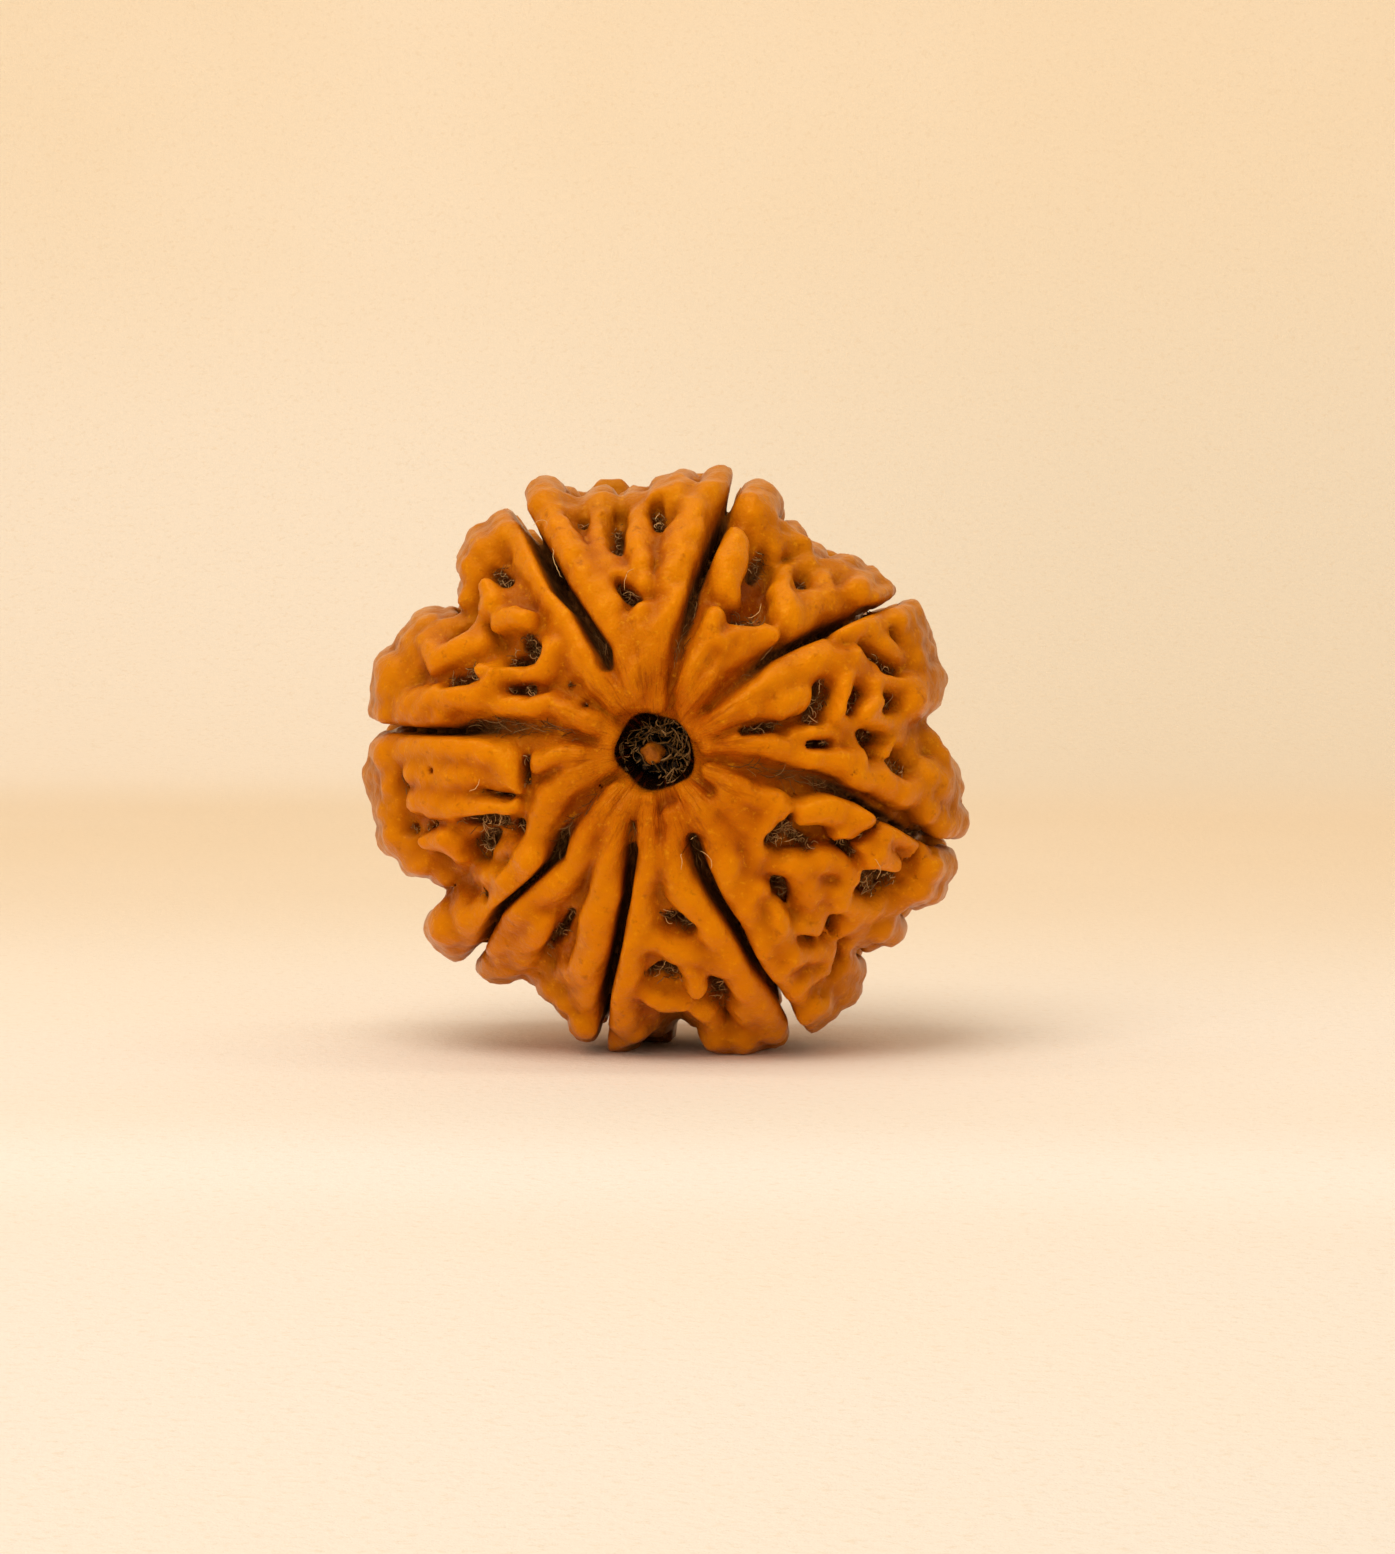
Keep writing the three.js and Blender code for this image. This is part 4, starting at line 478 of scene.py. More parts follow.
def cleft_bearing(index, reach):
    """A cleft's bearing at a reach, so that a net can be moved from one lobe to another."""
    line = CLEFTS[index % 8]
    reaches = [math.hypot(s[0], s[1]) for s in line]
    bearings = [from_twenty(float(bearing_of(s[0], s[1]))) for s in line]
    return float(np.interp(reach, reaches, bearings)) + 360 * (index // 8)


def turned_over(x, z, source, target):
    """Where a place of the front net of lobe source lies on the back of lobe target."""
    reach = math.hypot(x, z)
    bearing = from_twenty(float(bearing_of(x, z)))
    start = cleft_bearing(source, reach)
    share = (bearing - start) / (cleft_bearing(source + 1, reach) - start)
    low, high = cleft_bearing(target, reach), cleft_bearing(target + 1, reach)
    turned = high + (low - high) * share
    new_reach = reach * float(outline_reach(turned)) / float(outline_reach(bearing))
    return new_reach * math.cos(math.radians(turned)), new_reach * math.sin(math.radians(turned))


def outwards(p, inner, outer):
    """A measure that goes from its inner to its outer value with the distance from the hole's axis."""
    share = (np.hypot(p[..., 0], p[..., 2]) - INNER_REACH) / (OUTER_REACH - INNER_REACH)
    return inner + (outer - inner) * np.clip(share, 0, 1)


def valley_depth(p):
    """How far the ground between the ridges lies under the skin: more on the right than on the left."""
    share = np.clip(p[..., 0] / 5, 0, 1)
    return outwards(p, INNER_VALLEY, OUTER_VALLEY + EXTRA_VALLEY_RIGHT * share)


def face_net(kind, side):
    """Every ridge or pit line of one face, as skin points with half widths."""
    lines = []
    for index, lobe in enumerate(LOBES):
        source = lobe if side < 0 else LOBES[BACK_NET[index]]
        for line in source[kind]:
            places = [(x, z) if side < 0 else turned_over(x, z, BACK_NET[index], index) for x, z, _ in line]
            points = np.array([seen_point(x, z, side) for x, z in places])
            radii = np.array([r for _, _, r in line])
            if kind == "ridges":
                radii = np.maximum(radii * outwards(points, INNER_FULLNESS, OUTER_FULLNESS), TIP_RADIUS)
            lines.append((points, radii))
    return lines


def bulbs():
    """The traced bulbs, each a thick rope's end that comes over the rim from the front."""
    rods = []
    for serial, (x, z, radius) in enumerate(BULBS):
        back = BULB_BACK + 0.9 * (serial * GOLDEN % 1 - 0.5)
        front = BULB_FRONT + 1.2 * (serial * GOLDEN * 3 % 1 - 0.5)
        rod = [(x * BULB_LEAN, front, z * BULB_LEAN), (x, BULB_SHOULDER, z), (x, back, z)]
        rods.append((np.array(rod), radius))
    rods.append((np.array(BACK_LEG), BACK_LEG_RADIUS))
    return rods


def rim_knobs():
    """Short knobs behind the bulbs, each turned its own way by the golden ratio."""
    knobs = []
    for index in range(8):
        low, high = cleft_bearing(index, 99), cleft_bearing(index + 1, 99)
        reach = float(outline_reach((low + high) / 2))
        width = math.radians(high - low) * reach - 2 * RIM_MARGIN
        columns = max(2, int(width / RIM_SPACING + 0.5) + 1)
        for column in range(columns):
            share = (column - 0.15) / (columns - 1)
            knobs.append(rim_knob(len(knobs) + 1, low, reach, width, share))
    return knobs


def rim_knob(serial, low, reach, width, share):
    def draw(k):
        return (serial * GOLDEN * k) % 1 - 0.5

    along = RIM_MARGIN + width * min(max(share, 0), 1) + 0.5 * draw(3)
    bearing = low + math.degrees(along / reach)
    turn = math.pi * draw(1) * 1.6
    half = RIM_HALF_LENGTH * (1 + 0.6 * draw(2))
    radius = RIM_RADIUS * (1 + 0.3 * draw(5))
    middle = RIM_ROW + 0.7 * draw(4)
    points = []
    for step in (-1, 0, 1):
        bend = 0.25 * (1 - step * step)
        across = half * (step * math.sin(turn) + bend * math.cos(turn))
        y = middle + half * (step * math.cos(turn) - bend * math.sin(turn))
        points.append(rim_point(bearing + math.degrees(across / reach), y))
    return np.array(points), np.full(3, radius)


def cleft_lines():
    """Each cleft runs over the rim and comes back to the hole along the same path on the back."""
    lines = []
    for line, lean, gap in zip(CLEFTS, RIM_LEAN, RIM_GAP):
        x, z, _, depth = line[-1]
        bearing = float(bearing_of(x, z))
        rim = [rim_point(bearing + lean * (y + 3), y) for y in CLEFT_RIM_STOPS]
        front = [face_point(s[0], s[1], -1) for s in line]
        turn = math.radians(lean * 6)
        back = [face_point(s[0] * math.cos(turn) - s[1] * math.sin(turn),
                           s[0] * math.sin(turn) + s[1] * math.cos(turn), 1) for s in reversed(line)]
        widths = [s[2] * CLEFT_NARROWING for s in line]
        depths = [s[3] for s in line]
        lines.append((np.array(front + rim + back), np.array(widths + [gap] * len(rim) + widths[::-1]),
                      np.array(depths + [depth] * len(rim) + depths[::-1])))
    return lines


def foot_gap():
    bearing, lean, width, depth = FOOT_GAP
    points = [rim_point(bearing + lean * (y + 5), y) for y in FOOT_GAP_STOPS]
    return np.array(points), np.full(len(points), width), np.full(len(points), depth)


def stroke_distance(q, points, normals, radii, heights, open_top):
    """Distance from places q to a chain whose section is an ellipse; a cut is open outwards."""
    nearest = np.full(q.shape[:-1], np.inf, dtype=np.float32)
    for i in range(max(1, len(points) - 1)):
        j = min(i + 1, len(points) - 1)
        span = points[j] - points[i]
        out = q - points[i]
        t = np.clip(out @ span / max(span @ span, 1e-9), 0, 1)[..., None]
        out = out - t * span
        up = unit(normals[i] * (1 - t) + normals[j] * t)
        t = t[..., 0]
        radius = radii[i] * (1 - t) + radii[j] * t
        height = heights[i] * (1 - t) + heights[j] * t
        rise = (out * up).sum(-1)
        side = np.maximum((out * out).sum(-1) - rise * rise, 0)
        squeezed = rise * radius / height
        if open_top:
            squeezed = np.where(rise > 0, 0, squeezed)
        nearest = np.minimum(nearest, np.sqrt(side + squeezed * squeezed) - radius)
    return nearest


class Grid:
    """A regular grid of points over a box, with the strokes' local work done in small windows."""

    def __init__(self, low, high, step):
        self.step = step
        self.low = np.array(low, float)
        self.count = np.ceil((np.array(high) - self.low) / step).astype(int) + 1
        self.axes = [self.low[a] + step * np.arange(self.count[a]) for a in range(3)]

    def points(self):
        return np.stack(np.meshgrid(*self.axes, indexing="ij"), -1)

    def window(self, points, margin):
        first = np.floor((points.min(0) - margin - self.low) / self.step).astype(int)
        last = np.ceil((points.max(0) + margin - self.low) / self.step).astype(int) + 1
        return tuple(slice(max(0, a), max(0, min(b, n))) for a, b, n in zip(first, last, self.count))


def swelling(p):
    """Low swellings that keep the ridges from looking turned on a lathe."""
    x, y, z = p[..., 0], p[..., 1], p[..., 2]
    return (0.07 * np.sin(2.3 * x + 1.1 * y + 0.7) * np.sin(2.1 * z - 1.3 * y)
            + 0.05 * np.sin(4.1 * y + 1.7 * z) * np.sin(3.7 * x - 2.2 * z + 1.9)
            + 0.03 * np.sin(7.3 * x + 2.0 * z) * np.sin(6.7 * z - 5.1 * y + 0.4))


def weight(distance, blend):
    """A surface's share in a soft union, from the distance to it."""
    return np.exp(np.clip(-distance / blend, -60, 60))


def inside_share(distance):
    """One well inside a cut and nothing well outside it."""
    return 1 / (1 + np.exp(np.clip(distance / CUT_EDGE, -40, 40)))


def raised_field(grid, places, height):
    """The distance to the ground with its ridges, knobs and bulbs, run softly together."""
    blend = outwards(places, INNER_BLEND, OUTER_BLEND)
    total = weight(height + valley_depth(places), blend)
    ridges = face_net("ridges", -1) + face_net("ridges", 1) + rim_knobs()
    for serial, (points, radii) in enumerate(ridges):
        normals = skin(points)[1]
        heights = np.maximum(RIDGE_HALF_HEIGHT, radii)
        sunk = outwards(points, 0, MOST_SUNK * (serial * GOLDEN % 1))
        middles = points - normals * (heights + sunk)[:, None]
        window = grid.window(middles, heights.max() + RIDGE_MARGIN)
        distance = stroke_distance(places[window], middles, normals, radii, heights, False)
        total[window] += weight(distance, blend[window])
    for rod, radius in bulbs():
        window = grid.window(rod, radius + RIDGE_MARGIN)
        total[window] += weight(tube_distance(places[window], rod, radius), blend[window])
    return -blend * np.log(total) + swelling(places)


def cut_field(grid, places):
    """The distance to the pits and the clefts."""
    cut = np.full(places.shape[:-1], FAR)
    for side in (-1, 1):
        for points, radii in face_net("pits", side):
            carve(cut, grid, places, points, radii, np.full(len(points), PIT_DEPTH))
    for points, radii, depths in cleft_lines():
        for i in range(len(points) - 1):
            carve(cut, grid, places, points[i:i + 2], radii[i:i + 2], depths[i:i + 2])
    return cut


def stone_field():
    """The grid, the signed distance (nearly) on it, the height over the skin, and the cuts' shares."""
    grid = Grid((-13.1, -9.3, -FLOOR_DROP - 0.4), (12.9, 9.3, 12.1), GRID_STEP)
    places = grid.points()
    height = skin(places)[0]
    raised = raised_field(grid, places, height)
    cut = cut_field(grid, places)
    share = inside_share(raised + cut)
    carve(cut, grid, places, *foot_gap())
    canal = canal_distance(places)
    bore = inside_share(raised + canal)
    np.minimum(cut, canal, out=cut)
    field = np.logaddexp(raised / CUT_BLEND, -cut / CUT_BLEND) * CUT_BLEND
    return grid, np.maximum(field, -FLOOR_DROP - places[..., 2]), height, share, bore


def carve(cut, grid, places, points, radii, depths):
    window = grid.window(points, depths.max() + CUT_MARGIN)
    distance = stroke_distance(places[window], points, skin(points)[1], radii, depths, True)
    cut[window] = np.minimum(cut[window], distance)


def canal_distance(places):
    """The hole, flared at its mouths and a little uneven there."""
    x, y, z = places[..., 0], np.abs(places[..., 1]), places[..., 2]
    angle = np.arctan2(z, x)
    flare = np.clip((y - FLARE_START) / FLARE_LENGTH, 0, 1)
    radius = CANAL_RADIUS + (MOUTH_RADIUS - CANAL_RADIUS) * flare * flare * (3 - 2 * flare)
    uneven = 1 + flare * (0.05 * np.cos(2 * angle + 1.2) + 0.05 * np.cos(5 * angle + 2.6))
    return np.hypot(x, z) - radius * uneven


def sample(values, grid, p):
    """Values of a grid at places between its points."""
    q = (p - grid.low) / grid.step
    i = np.clip(np.floor(q).astype(int), 0, grid.count - 2)
    t = q - i
    result = 0
    for dx in (0, 1):
        for dy in (0, 1):
            for dz in (0, 1):
                weight = (np.abs(1 - dx - t[:, 0]) * np.abs(1 - dy - t[:, 1]) * np.abs(1 - dz - t[:, 2]))
                result = result + weight * values[i[:, 0] + dx, i[:, 1] + dy, i[:, 2] + dz]
    return result


def crossing_sums(field):
    """For every cell, the sum of its edges' crossing places and their number."""
    shape = np.array(field.shape) - 1
    sums = np.zeros((*shape, 3))
    counts = np.zeros(shape)
    inside = field < 0
    for axis in range(3):
        low = [slice(None)] * 3
        high = [slice(None)] * 3
        low[axis], high[axis] = slice(0, -1), slice(1, None)
        crossed = inside[tuple(low)] != inside[tuple(high)]
        gap = np.where(crossed, field[tuple(low)] - field[tuple(high)], 1.0)
        t = np.where(crossed, field[tuple(low)] / gap, 0)
        others = [a for a in range(3) if a != axis]
        for da in (0, 1):
            for db in (0, 1):
                part = [slice(None)] * 3
                part[others[0]] = slice(da, shape[others[0]] + da)
                part[others[1]] = slice(db, shape[others[1]] + db)
                here = crossed[tuple(part)]
                counts += here
                sums[..., axis] += t[tuple(part)]
                sums[..., others[0]] += here * da
                sums[..., others[1]] += here * db
    return sums, counts, inside


def surface_net(field, grid):
    """A closed mesh of quads on the field's zero surface."""
    sums, counts, inside = crossing_sums(field)
    cells = counts > 0
    number = np.full(cells.shape, -1)
    number[cells] = np.arange(cells.sum())
    corner = np.argwhere(cells)
    verts = grid.low + (corner + sums[cells] / counts[cells][:, None]) * grid.step
    quads = []
    for axis in range(3):
        a, b = [(1, 2), (2, 0), (0, 1)][axis]
        low = [slice(1, -1)] * 3
        high = [slice(1, -1)] * 3
        low[axis], high[axis] = slice(0, -1), slice(1, None)
        first, second = inside[tuple(low)], inside[tuple(high)]
        for leaving in (True, False):
            edge = np.argwhere((first & ~second) if leaving else (~first & second))
            edge += [0 if k == axis else 1 for k in range(3)]
            loop = [(-1, -1), (0, -1), (0, 0), (-1, 0)]
            if not leaving:
                loop.reverse()
            corners = []
            for da, db in loop:
                cell = edge.copy()
                cell[:, a] += da
                cell[:, b] += db
                corners.append(number[cell[:, 0], cell[:, 1], cell[:, 2]])
            quads.append(np.stack(corners, -1))
    return verts, np.concatenate(quads)


def settle(verts, field, grid, passes=3):
    """Moves a net's corners onto the zero surface."""
    step = grid.step * 0.5
    for _ in range(passes):
        value = sample(field, grid, verts)
        slope = np.stack([(sample(field, grid, verts + step * e) - sample(field, grid, verts - step * e))
                          / (2 * step) for e in np.eye(3)], -1)
        move = value[:, None] * slope / np.maximum((slope * slope).sum(-1, keepdims=True), 0.05)
        length = np.linalg.norm(move, axis=-1, keepdims=True)
        verts = verts - move * np.minimum(1, 0.5 * grid.step / np.maximum(length, 1e-9))
    return verts


def blurred(values, reach):
    """The mean over a cube that reaches a number of grid points each way."""
    for axis in range(3):
        padded = np.concatenate([np.take(values, [0] * (reach + 1), axis), values,
                                 np.take(values, [-1] * reach, axis)], axis)
        sums = np.cumsum(padded, axis)
        n = values.shape[axis]
        upper = np.take(sums, np.arange(2 * reach + 1, 2 * reach + 1 + n), axis)
        values = (upper - np.take(sums, np.arange(n), axis)) / (2 * reach + 1)
    return values


def put_in_scene(name, data):
    thing = bpy.data.objects.new(name, data)
    bpy.context.scene.collection.objects.link(thing)
    return thing


def mesh_object(name, verts, faces):
    """A mesh piece whose corners are given in millimetres from the hole's middle."""
    mesh = bpy.data.meshes.new(name)
    faces = np.asarray(faces)
    mesh.vertices.add(len(verts))
    mesh.loops.add(faces.size)
    mesh.loops.foreach_set("vertex_index", faces.astype(np.int32).ravel())
    mesh.polygons.add(len(faces))
    mesh.polygons.foreach_set("loop_start", np.arange(0, faces.size, faces.shape[1], dtype=np.int32))
    mesh.update(calc_edges=True)
    mesh.polygons.foreach_set("use_smooth", np.ones(len(faces), dtype=bool))
    piece = put_in_scene(name, mesh)
    move_corners(piece, verts)
    mesh.validate()
    return piece


def corners(piece):
    """A piece's corners in millimetres from the hole's middle."""
    flat = np.empty(len(piece.data.vertices) * 3, np.float32)
    piece.data.vertices.foreach_get("co", flat)
    return flat.reshape(-1, 3) / MM - AXIS_PLACE


def move_corners(piece, verts):
    placed = (np.asarray(verts) + AXIS_PLACE) * MM
    piece.data.vertices.foreach_set("co", placed.astype(np.float32).ravel())
    piece.data.update()


def keep_values(piece, **values):
    for key, numbers in values.items():
        layer = piece.data.attributes.new(key, "FLOAT", "POINT")
        layer.data.foreach_set("value", np.asarray(numbers, np.float32))


def thin(piece, share):
    """Merges faces where the surface is calm, down to a share of them."""
    modifier = piece.modifiers.new("thin", "DECIMATE")
    modifier.ratio = share
    graph = bpy.context.evaluated_depsgraph_get()
    thinned = bpy.data.meshes.new_from_object(piece.evaluated_get(graph))
    piece.modifiers.clear()
    piece.data = thinned


def fitted(verts, box_low, box_high):
    """The corners stretched by a hair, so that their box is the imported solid's."""
    low, high = verts.min(0), verts.max(0)
    want_low = np.array(box_low) / MM - AXIS_PLACE
    want_high = np.array(box_high) / MM - AXIS_PLACE
    return want_low + (verts - low) * (want_high - want_low) / (high - low)


def painted_foot_shade_share(p):
    """Where the stone lies in the dark between its feet, for the painted shadow there: one there and nothing
    elsewhere.
    """
    low = np.clip((-10.6 - p[:, 2]) / 0.8, 0, 1)
    behind = np.clip((p[:, 1] + 4.2) / 1.2, 0, 1)
    between = np.clip((p[:, 0] + 1.9) / 0.5, 0, 1) * np.clip((1.6 - p[:, 0]) / 0.5, 0, 1)
    return low * behind * between


def make_stone():
    grid, field, height, share, bore = stone_field()
    verts, quads = surface_net(field, grid)
    piece = mesh_object("stone_fine", settle(verts, field, grid), quads)
    thin(piece, MOST_TRIANGLES / (2 * len(quads)))
    verts = corners(piece)
    hollow = blurred(np.clip(field, -0.9, 0.9), 4)
    broad = blurred(np.clip(field, -1.6, 1.6), 9)
    # hollow, broad and depth drive the painted shade in hollows, under the painted shadow between the feet,
    # and bore the painted shade inside the hole.
    keep_values(piece, depth=-sample(height, grid, verts), cut=sample(share, grid, verts),
                bore=sample(bore, grid, verts), hollow=-sample(hollow, grid, verts),
                broad=-sample(broad, grid, verts), reach=np.hypot(verts[:, 0], verts[:, 2]),
                under=painted_foot_shade_share(verts))
    move_corners(piece, fitted(verts, *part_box("stone")))
    print("stone_fine", len(piece.data.polygons), "faces")
    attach(piece, "root")
    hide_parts("stone")
    return piece


class Nodes:
    """Short calls for building a node material."""

    def __init__(self, name):
        self.material = bpy.data.materials.new(name)
        self.material.use_nodes = True
        self.tree = self.material.node_tree
        self.tree.nodes.clear()
        self.output = self.tree.nodes.new("ShaderNodeOutputMaterial")

    def add(self, kind, **inputs):
        node = self.tree.nodes.new(kind)
        for key, value in inputs.items():
            self.put(node, key.replace("_", " "), value)
        return node

    def put(self, node, key, value):
        self.connect(node.inputs[int(key)] if key.isdigit() else node.inputs[key], value)

    def connect(self, socket, value):
        if isinstance(value, bpy.types.NodeSocket):
            self.tree.links.new(value, socket)
        else:
            socket.default_value = value

    def attribute(self, name):
        node = self.add("ShaderNodeAttribute")
        node.attribute_name = name
        return node.outputs["Fac"]

    def between(self, value, low, high):
        node = self.add("ShaderNodeMapRange")
        node.interpolation_type = "SMOOTHSTEP"
        for key, item in (("Value", value), ("From Min", low), ("From Max", high)):
            self.put(node, key, item)
        return node.outputs["Result"]

    def math(self, operation, a, b=0.0):
        node = self.add("ShaderNodeMath")
        node.operation = operation
        self.put(node, "0", a)
        self.put(node, "1", b)
        return node.outputs[0]

    def mix(self, factor, a, b):
        node = self.add("ShaderNodeMix")
        node.data_type = "RGBA"
        sockets = [s for s in node.inputs if s.type == "RGBA"]
        for socket, value in ((node.inputs[0], factor), (sockets[0], a), (sockets[1], b)):
            self.connect(socket, value)
        return [s for s in node.outputs if s.type == "RGBA"][0]

    def tint(self, colour, share, strength, new):
        """The colour moved towards a new one, by a strength, where a share is high."""
        return self.mix(self.math("MULTIPLY", share, strength), colour, new)

    def noise(self, scale, detail=4.0, roughness=0.55, vector=None):
        node = self.add("ShaderNodeTexNoise", Scale=scale, Detail=detail, Roughness=roughness)
        self.put(node, "Vector", vector if vector is not None else self.place())
        return node.outputs["Fac"]

    def place(self, scale=(1, 1, 1)):
        coordinates = self.add("ShaderNodeTexCoord").outputs["Object"]
        if scale == (1, 1, 1):
            return coordinates
        mapping = self.add("ShaderNodeMapping", Vector=coordinates)
        mapping.inputs["Scale"].default_value = scale
        return mapping.outputs["Vector"]

    def axis(self, letter):
        return self.add("ShaderNodeSeparateXYZ", Vector=self.place()).outputs[letter]

    def bump(self, height, strength, distance, normal=None):
        node = self.add("ShaderNodeBump", Strength=strength, Distance=distance, Height=height)
        if normal is not None:
            self.put(node, "Normal", normal)
        return node.outputs["Normal"]

    def finish(self, **inputs):
        shader = self.add("ShaderNodeBsdfPrincipled", **inputs)
        self.tree.links.new(shader.outputs[0], self.output.inputs["Surface"])
        return self.material


def ridge_colour_and_shade(n, hollow, depth, reach):
    """Orange crests over browner flanks and valleys, darker by the hole, with painted light and shade:
    lighter on bulging crests, painted shade on the flanks and in hollows, a painted shadow at the foot and
    painted shade on the rim.
    """
    # One orange in three tones: lit_crest where the surface bulges is painted light, shaded_flank and
    # shaded_valley are painted shade on the sides and in the hollows.
    lit_crest, shaded_flank, shaded_valley = (0.74, 0.215, 0.001, 1), (0.47, 0.100, 0.001, 1), (0.25, 0.042, 0.001, 1)
    # by_hole is the stone's redder tone by the hole; foot is a painted shadow colour and rim a browner
    # painted shade colour.
    by_hole, foot, rim = (0.46, 0.082, 0.0012, 1), (0.06, 0.014, 0.001, 1), (0.33, 0.105, 0.002, 1)
    colour = n.mix(n.between(hollow, -0.17, 0.06), lit_crest, shaded_flank)
    colour = n.tint(colour, n.between(reach, 6.5, 2.2), 0.6, by_hole)
    # Painted shade: darker where the surface is hollow or lies deep under the skin.
    low = n.math("MAXIMUM", n.between(hollow, -0.02, 0.2), n.between(depth, 0.5, 1.5))
    colour = n.tint(colour, low, 0.92, shaded_valley)
    # More painted shade over broad hollows.
    colour = n.tint(colour, n.between(n.attribute("broad"), -0.1, 0.4), 0.35, shaded_valley)
    # Painted shadow on the stone between the feet, in the foot colour.
    colour = n.tint(colour, n.attribute("under"), 0.9, foot)
    # Browner and darker towards the rim: painted shade where the surface turns away from the front, with a
    # browner tone.
    return n.tint(colour, n.between(n.axis("Y"), -0.0062, -0.0010), 0.55, rim)


def speckles_and_glints(n, colour):
    """The colour broken up by pale patches and dark specks, with bright flecks as painted glints."""
    pale, dark, painted_glint = (0.76, 0.27, 0.002, 1), (0.30, 0.06, 0.002, 1), (0.95, 0.40, 0.01, 1)
    colour = n.tint(colour, n.between(n.noise(420, 5, 0.62), 0.38, 0.68), 0.24, pale)
    colour = n.tint(colour, n.between(n.noise(2300, 3, 0.6), 0.58, 0.76), 0.5, dark)
    # Painted glints: small bright flecks of painted highlight.
    return n.tint(colour, n.between(n.noise(3400, 3, 0.7), 0.56, 0.72), 0.32, painted_glint)


def streaks_from_hole(n, reach):
    """A noise drawn out along lines from the hole."""
    x, z = (n.math("SUBTRACT", n.axis(letter), AXIS_PLACE[i] * MM) for letter, i in (("X", 0), ("Z", 2)))
    spokes = n.add("ShaderNodeCombineXYZ", X=n.math("MULTIPLY", n.math("ARCTAN2", z, x), 9.0),
                   Y=n.math("MULTIPLY", reach, 0.45)).outputs[0]
    return n.noise(1.0, 3, 0.6, spokes)


def stone_material():
    n = Nodes("rudraksha_stone")
    # pit and cleft are the linings' own browns; hole is near black, painted shade for the inside of the bore.
    pit, cleft, hole = (0.070, 0.021, 0.005, 1), (0.22, 0.080, 0.020, 1), (0.022, 0.007, 0.002, 1)
    hollow, depth, cut, bore, reach = map(n.attribute, ("hollow", "depth", "cut", "bore", "reach"))
    colour = speckles_and_glints(n, ridge_colour_and_shade(n, hollow, depth, reach))
    fibres = n.noise(1, 5, 0.7, n.place((5200, 5200, 1500)))
    deep = n.math("MULTIPLY", n.between(cut, 0.3, 0.8), n.between(depth, 0.9, 1.7))
    colour = n.mix(deep, colour, n.mix(n.between(fibres, 0.35, 0.7), pit, cleft))
    # Painted shade inside the bore: its wall turns to the near black hole colour away from the mouth.
    inside = n.math("MULTIPLY", n.between(bore, 0.3, 0.8), n.between(depth, 0.2, 0.8))
    colour = n.mix(inside, colour, hole)
    streaks, near = streaks_from_hole(n, reach), n.between(reach, 6.0, 2.5)
    streaked = n.math("MULTIPLY", n.between(streaks, 0.46, 0.36), near)
    colour = n.tint(colour, streaked, 0.5, (0.27, 0.038, 0.001, 1))
    pores = n.bump(n.noise(4200, 4, 0.6), 0.38, 0.00008)
    grain = n.bump(n.noise(1100, 4, 0.58), 0.5, 0.0003, pores)
    grain = n.bump(n.math("MULTIPLY", streaks, near), 0.5, 0.0005, grain)
    normal = n.mix(deep, grain, n.bump(fibres, 0.55, 0.00015, grain))
    roughness = n.math("ADD", n.math("MULTIPLY", deep, 0.35), 0.31)
    return n.finish(Base_Color=colour, Roughness=roughness, Normal=normal, Specular_IOR_Level=0.3,
                    Specular_Tint=(1.0, 0.50, 0.03, 1), Subsurface_Weight=0.08,
                    Subsurface_Radius=(0.9, 0.3, 0.03), Subsurface_Scale=0.0005)


def strand_points():
    """The wavering fibres of the dried strand, each a chain along the hole."""
    lines = []
    for i in range(STRAND_FIBRES):
        spread = math.sqrt((i + 0.5) / STRAND_FIBRES) * STRAND_RADIUS
        angle = i * GOLDEN_ANGLE
        end = 6.3 + 0.35 * math.sin(i * 1.9) - 0.35 * spread
        ys = np.linspace(-end, end, 13)
        twist = angle + 0.25 * np.sin(ys * 0.7 + i)
        wander = spread * (1 + 0.10 * np.sin(ys * 1.3 + 2.1 * i))
        points = np.stack([wander * np.cos(twist), ys, wander * np.sin(twist)], -1)
        lines.append((points, 0.12 + 0.035 * math.sin(i * 2.7)))
    return lines


def make_strand():
    grid = Grid((-1.25, -7.1, -1.25), (1.25, 7.1, 1.25), STRAND_STEP)
    places = grid.points()
    total = np.zeros(places.shape[:-1])
    for points, radius in strand_points():
        window = grid.window(points, radius + 0.25)
        total[window] += weight(tube_distance(places[window], points, radius), STRAND_BLEND)
    for side in (-1, 1):
        stub = np.array([(-0.12, side * 6.0, -0.15), (-0.15, side * 6.4, -0.2)])
        window = grid.window(stub, 0.8)
        total[window] += weight(tube_distance(places[window], stub, STUB_RADIUS), STRAND_BLEND)
    wall = canal_distance(places) + STRAND_GAP
    total += weight(np.maximum(wall, np.abs(places[..., 1]) - STRAND_FULL_HALF), STRAND_BLEND)
    field = np.maximum(-STRAND_BLEND * np.log(np.maximum(total, 1e-30)), wall)
    verts, quads = surface_net(field, grid)
    verts = settle(verts, field, grid, 2)
    from_stub = np.hypot(verts[:, 0] - STUB_MIDDLE[0], verts[:, 2] - STUB_MIDDLE[1])
    piece = mesh_object("core_strand_fine", inside_box(verts, *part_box("core_strand")), quads)
    keep_values(piece, stub=from_stub)
    print("core_strand_fine", len(quads) * 2, "triangles")
    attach(piece, "root")
    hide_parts("core_strand")
    return piece


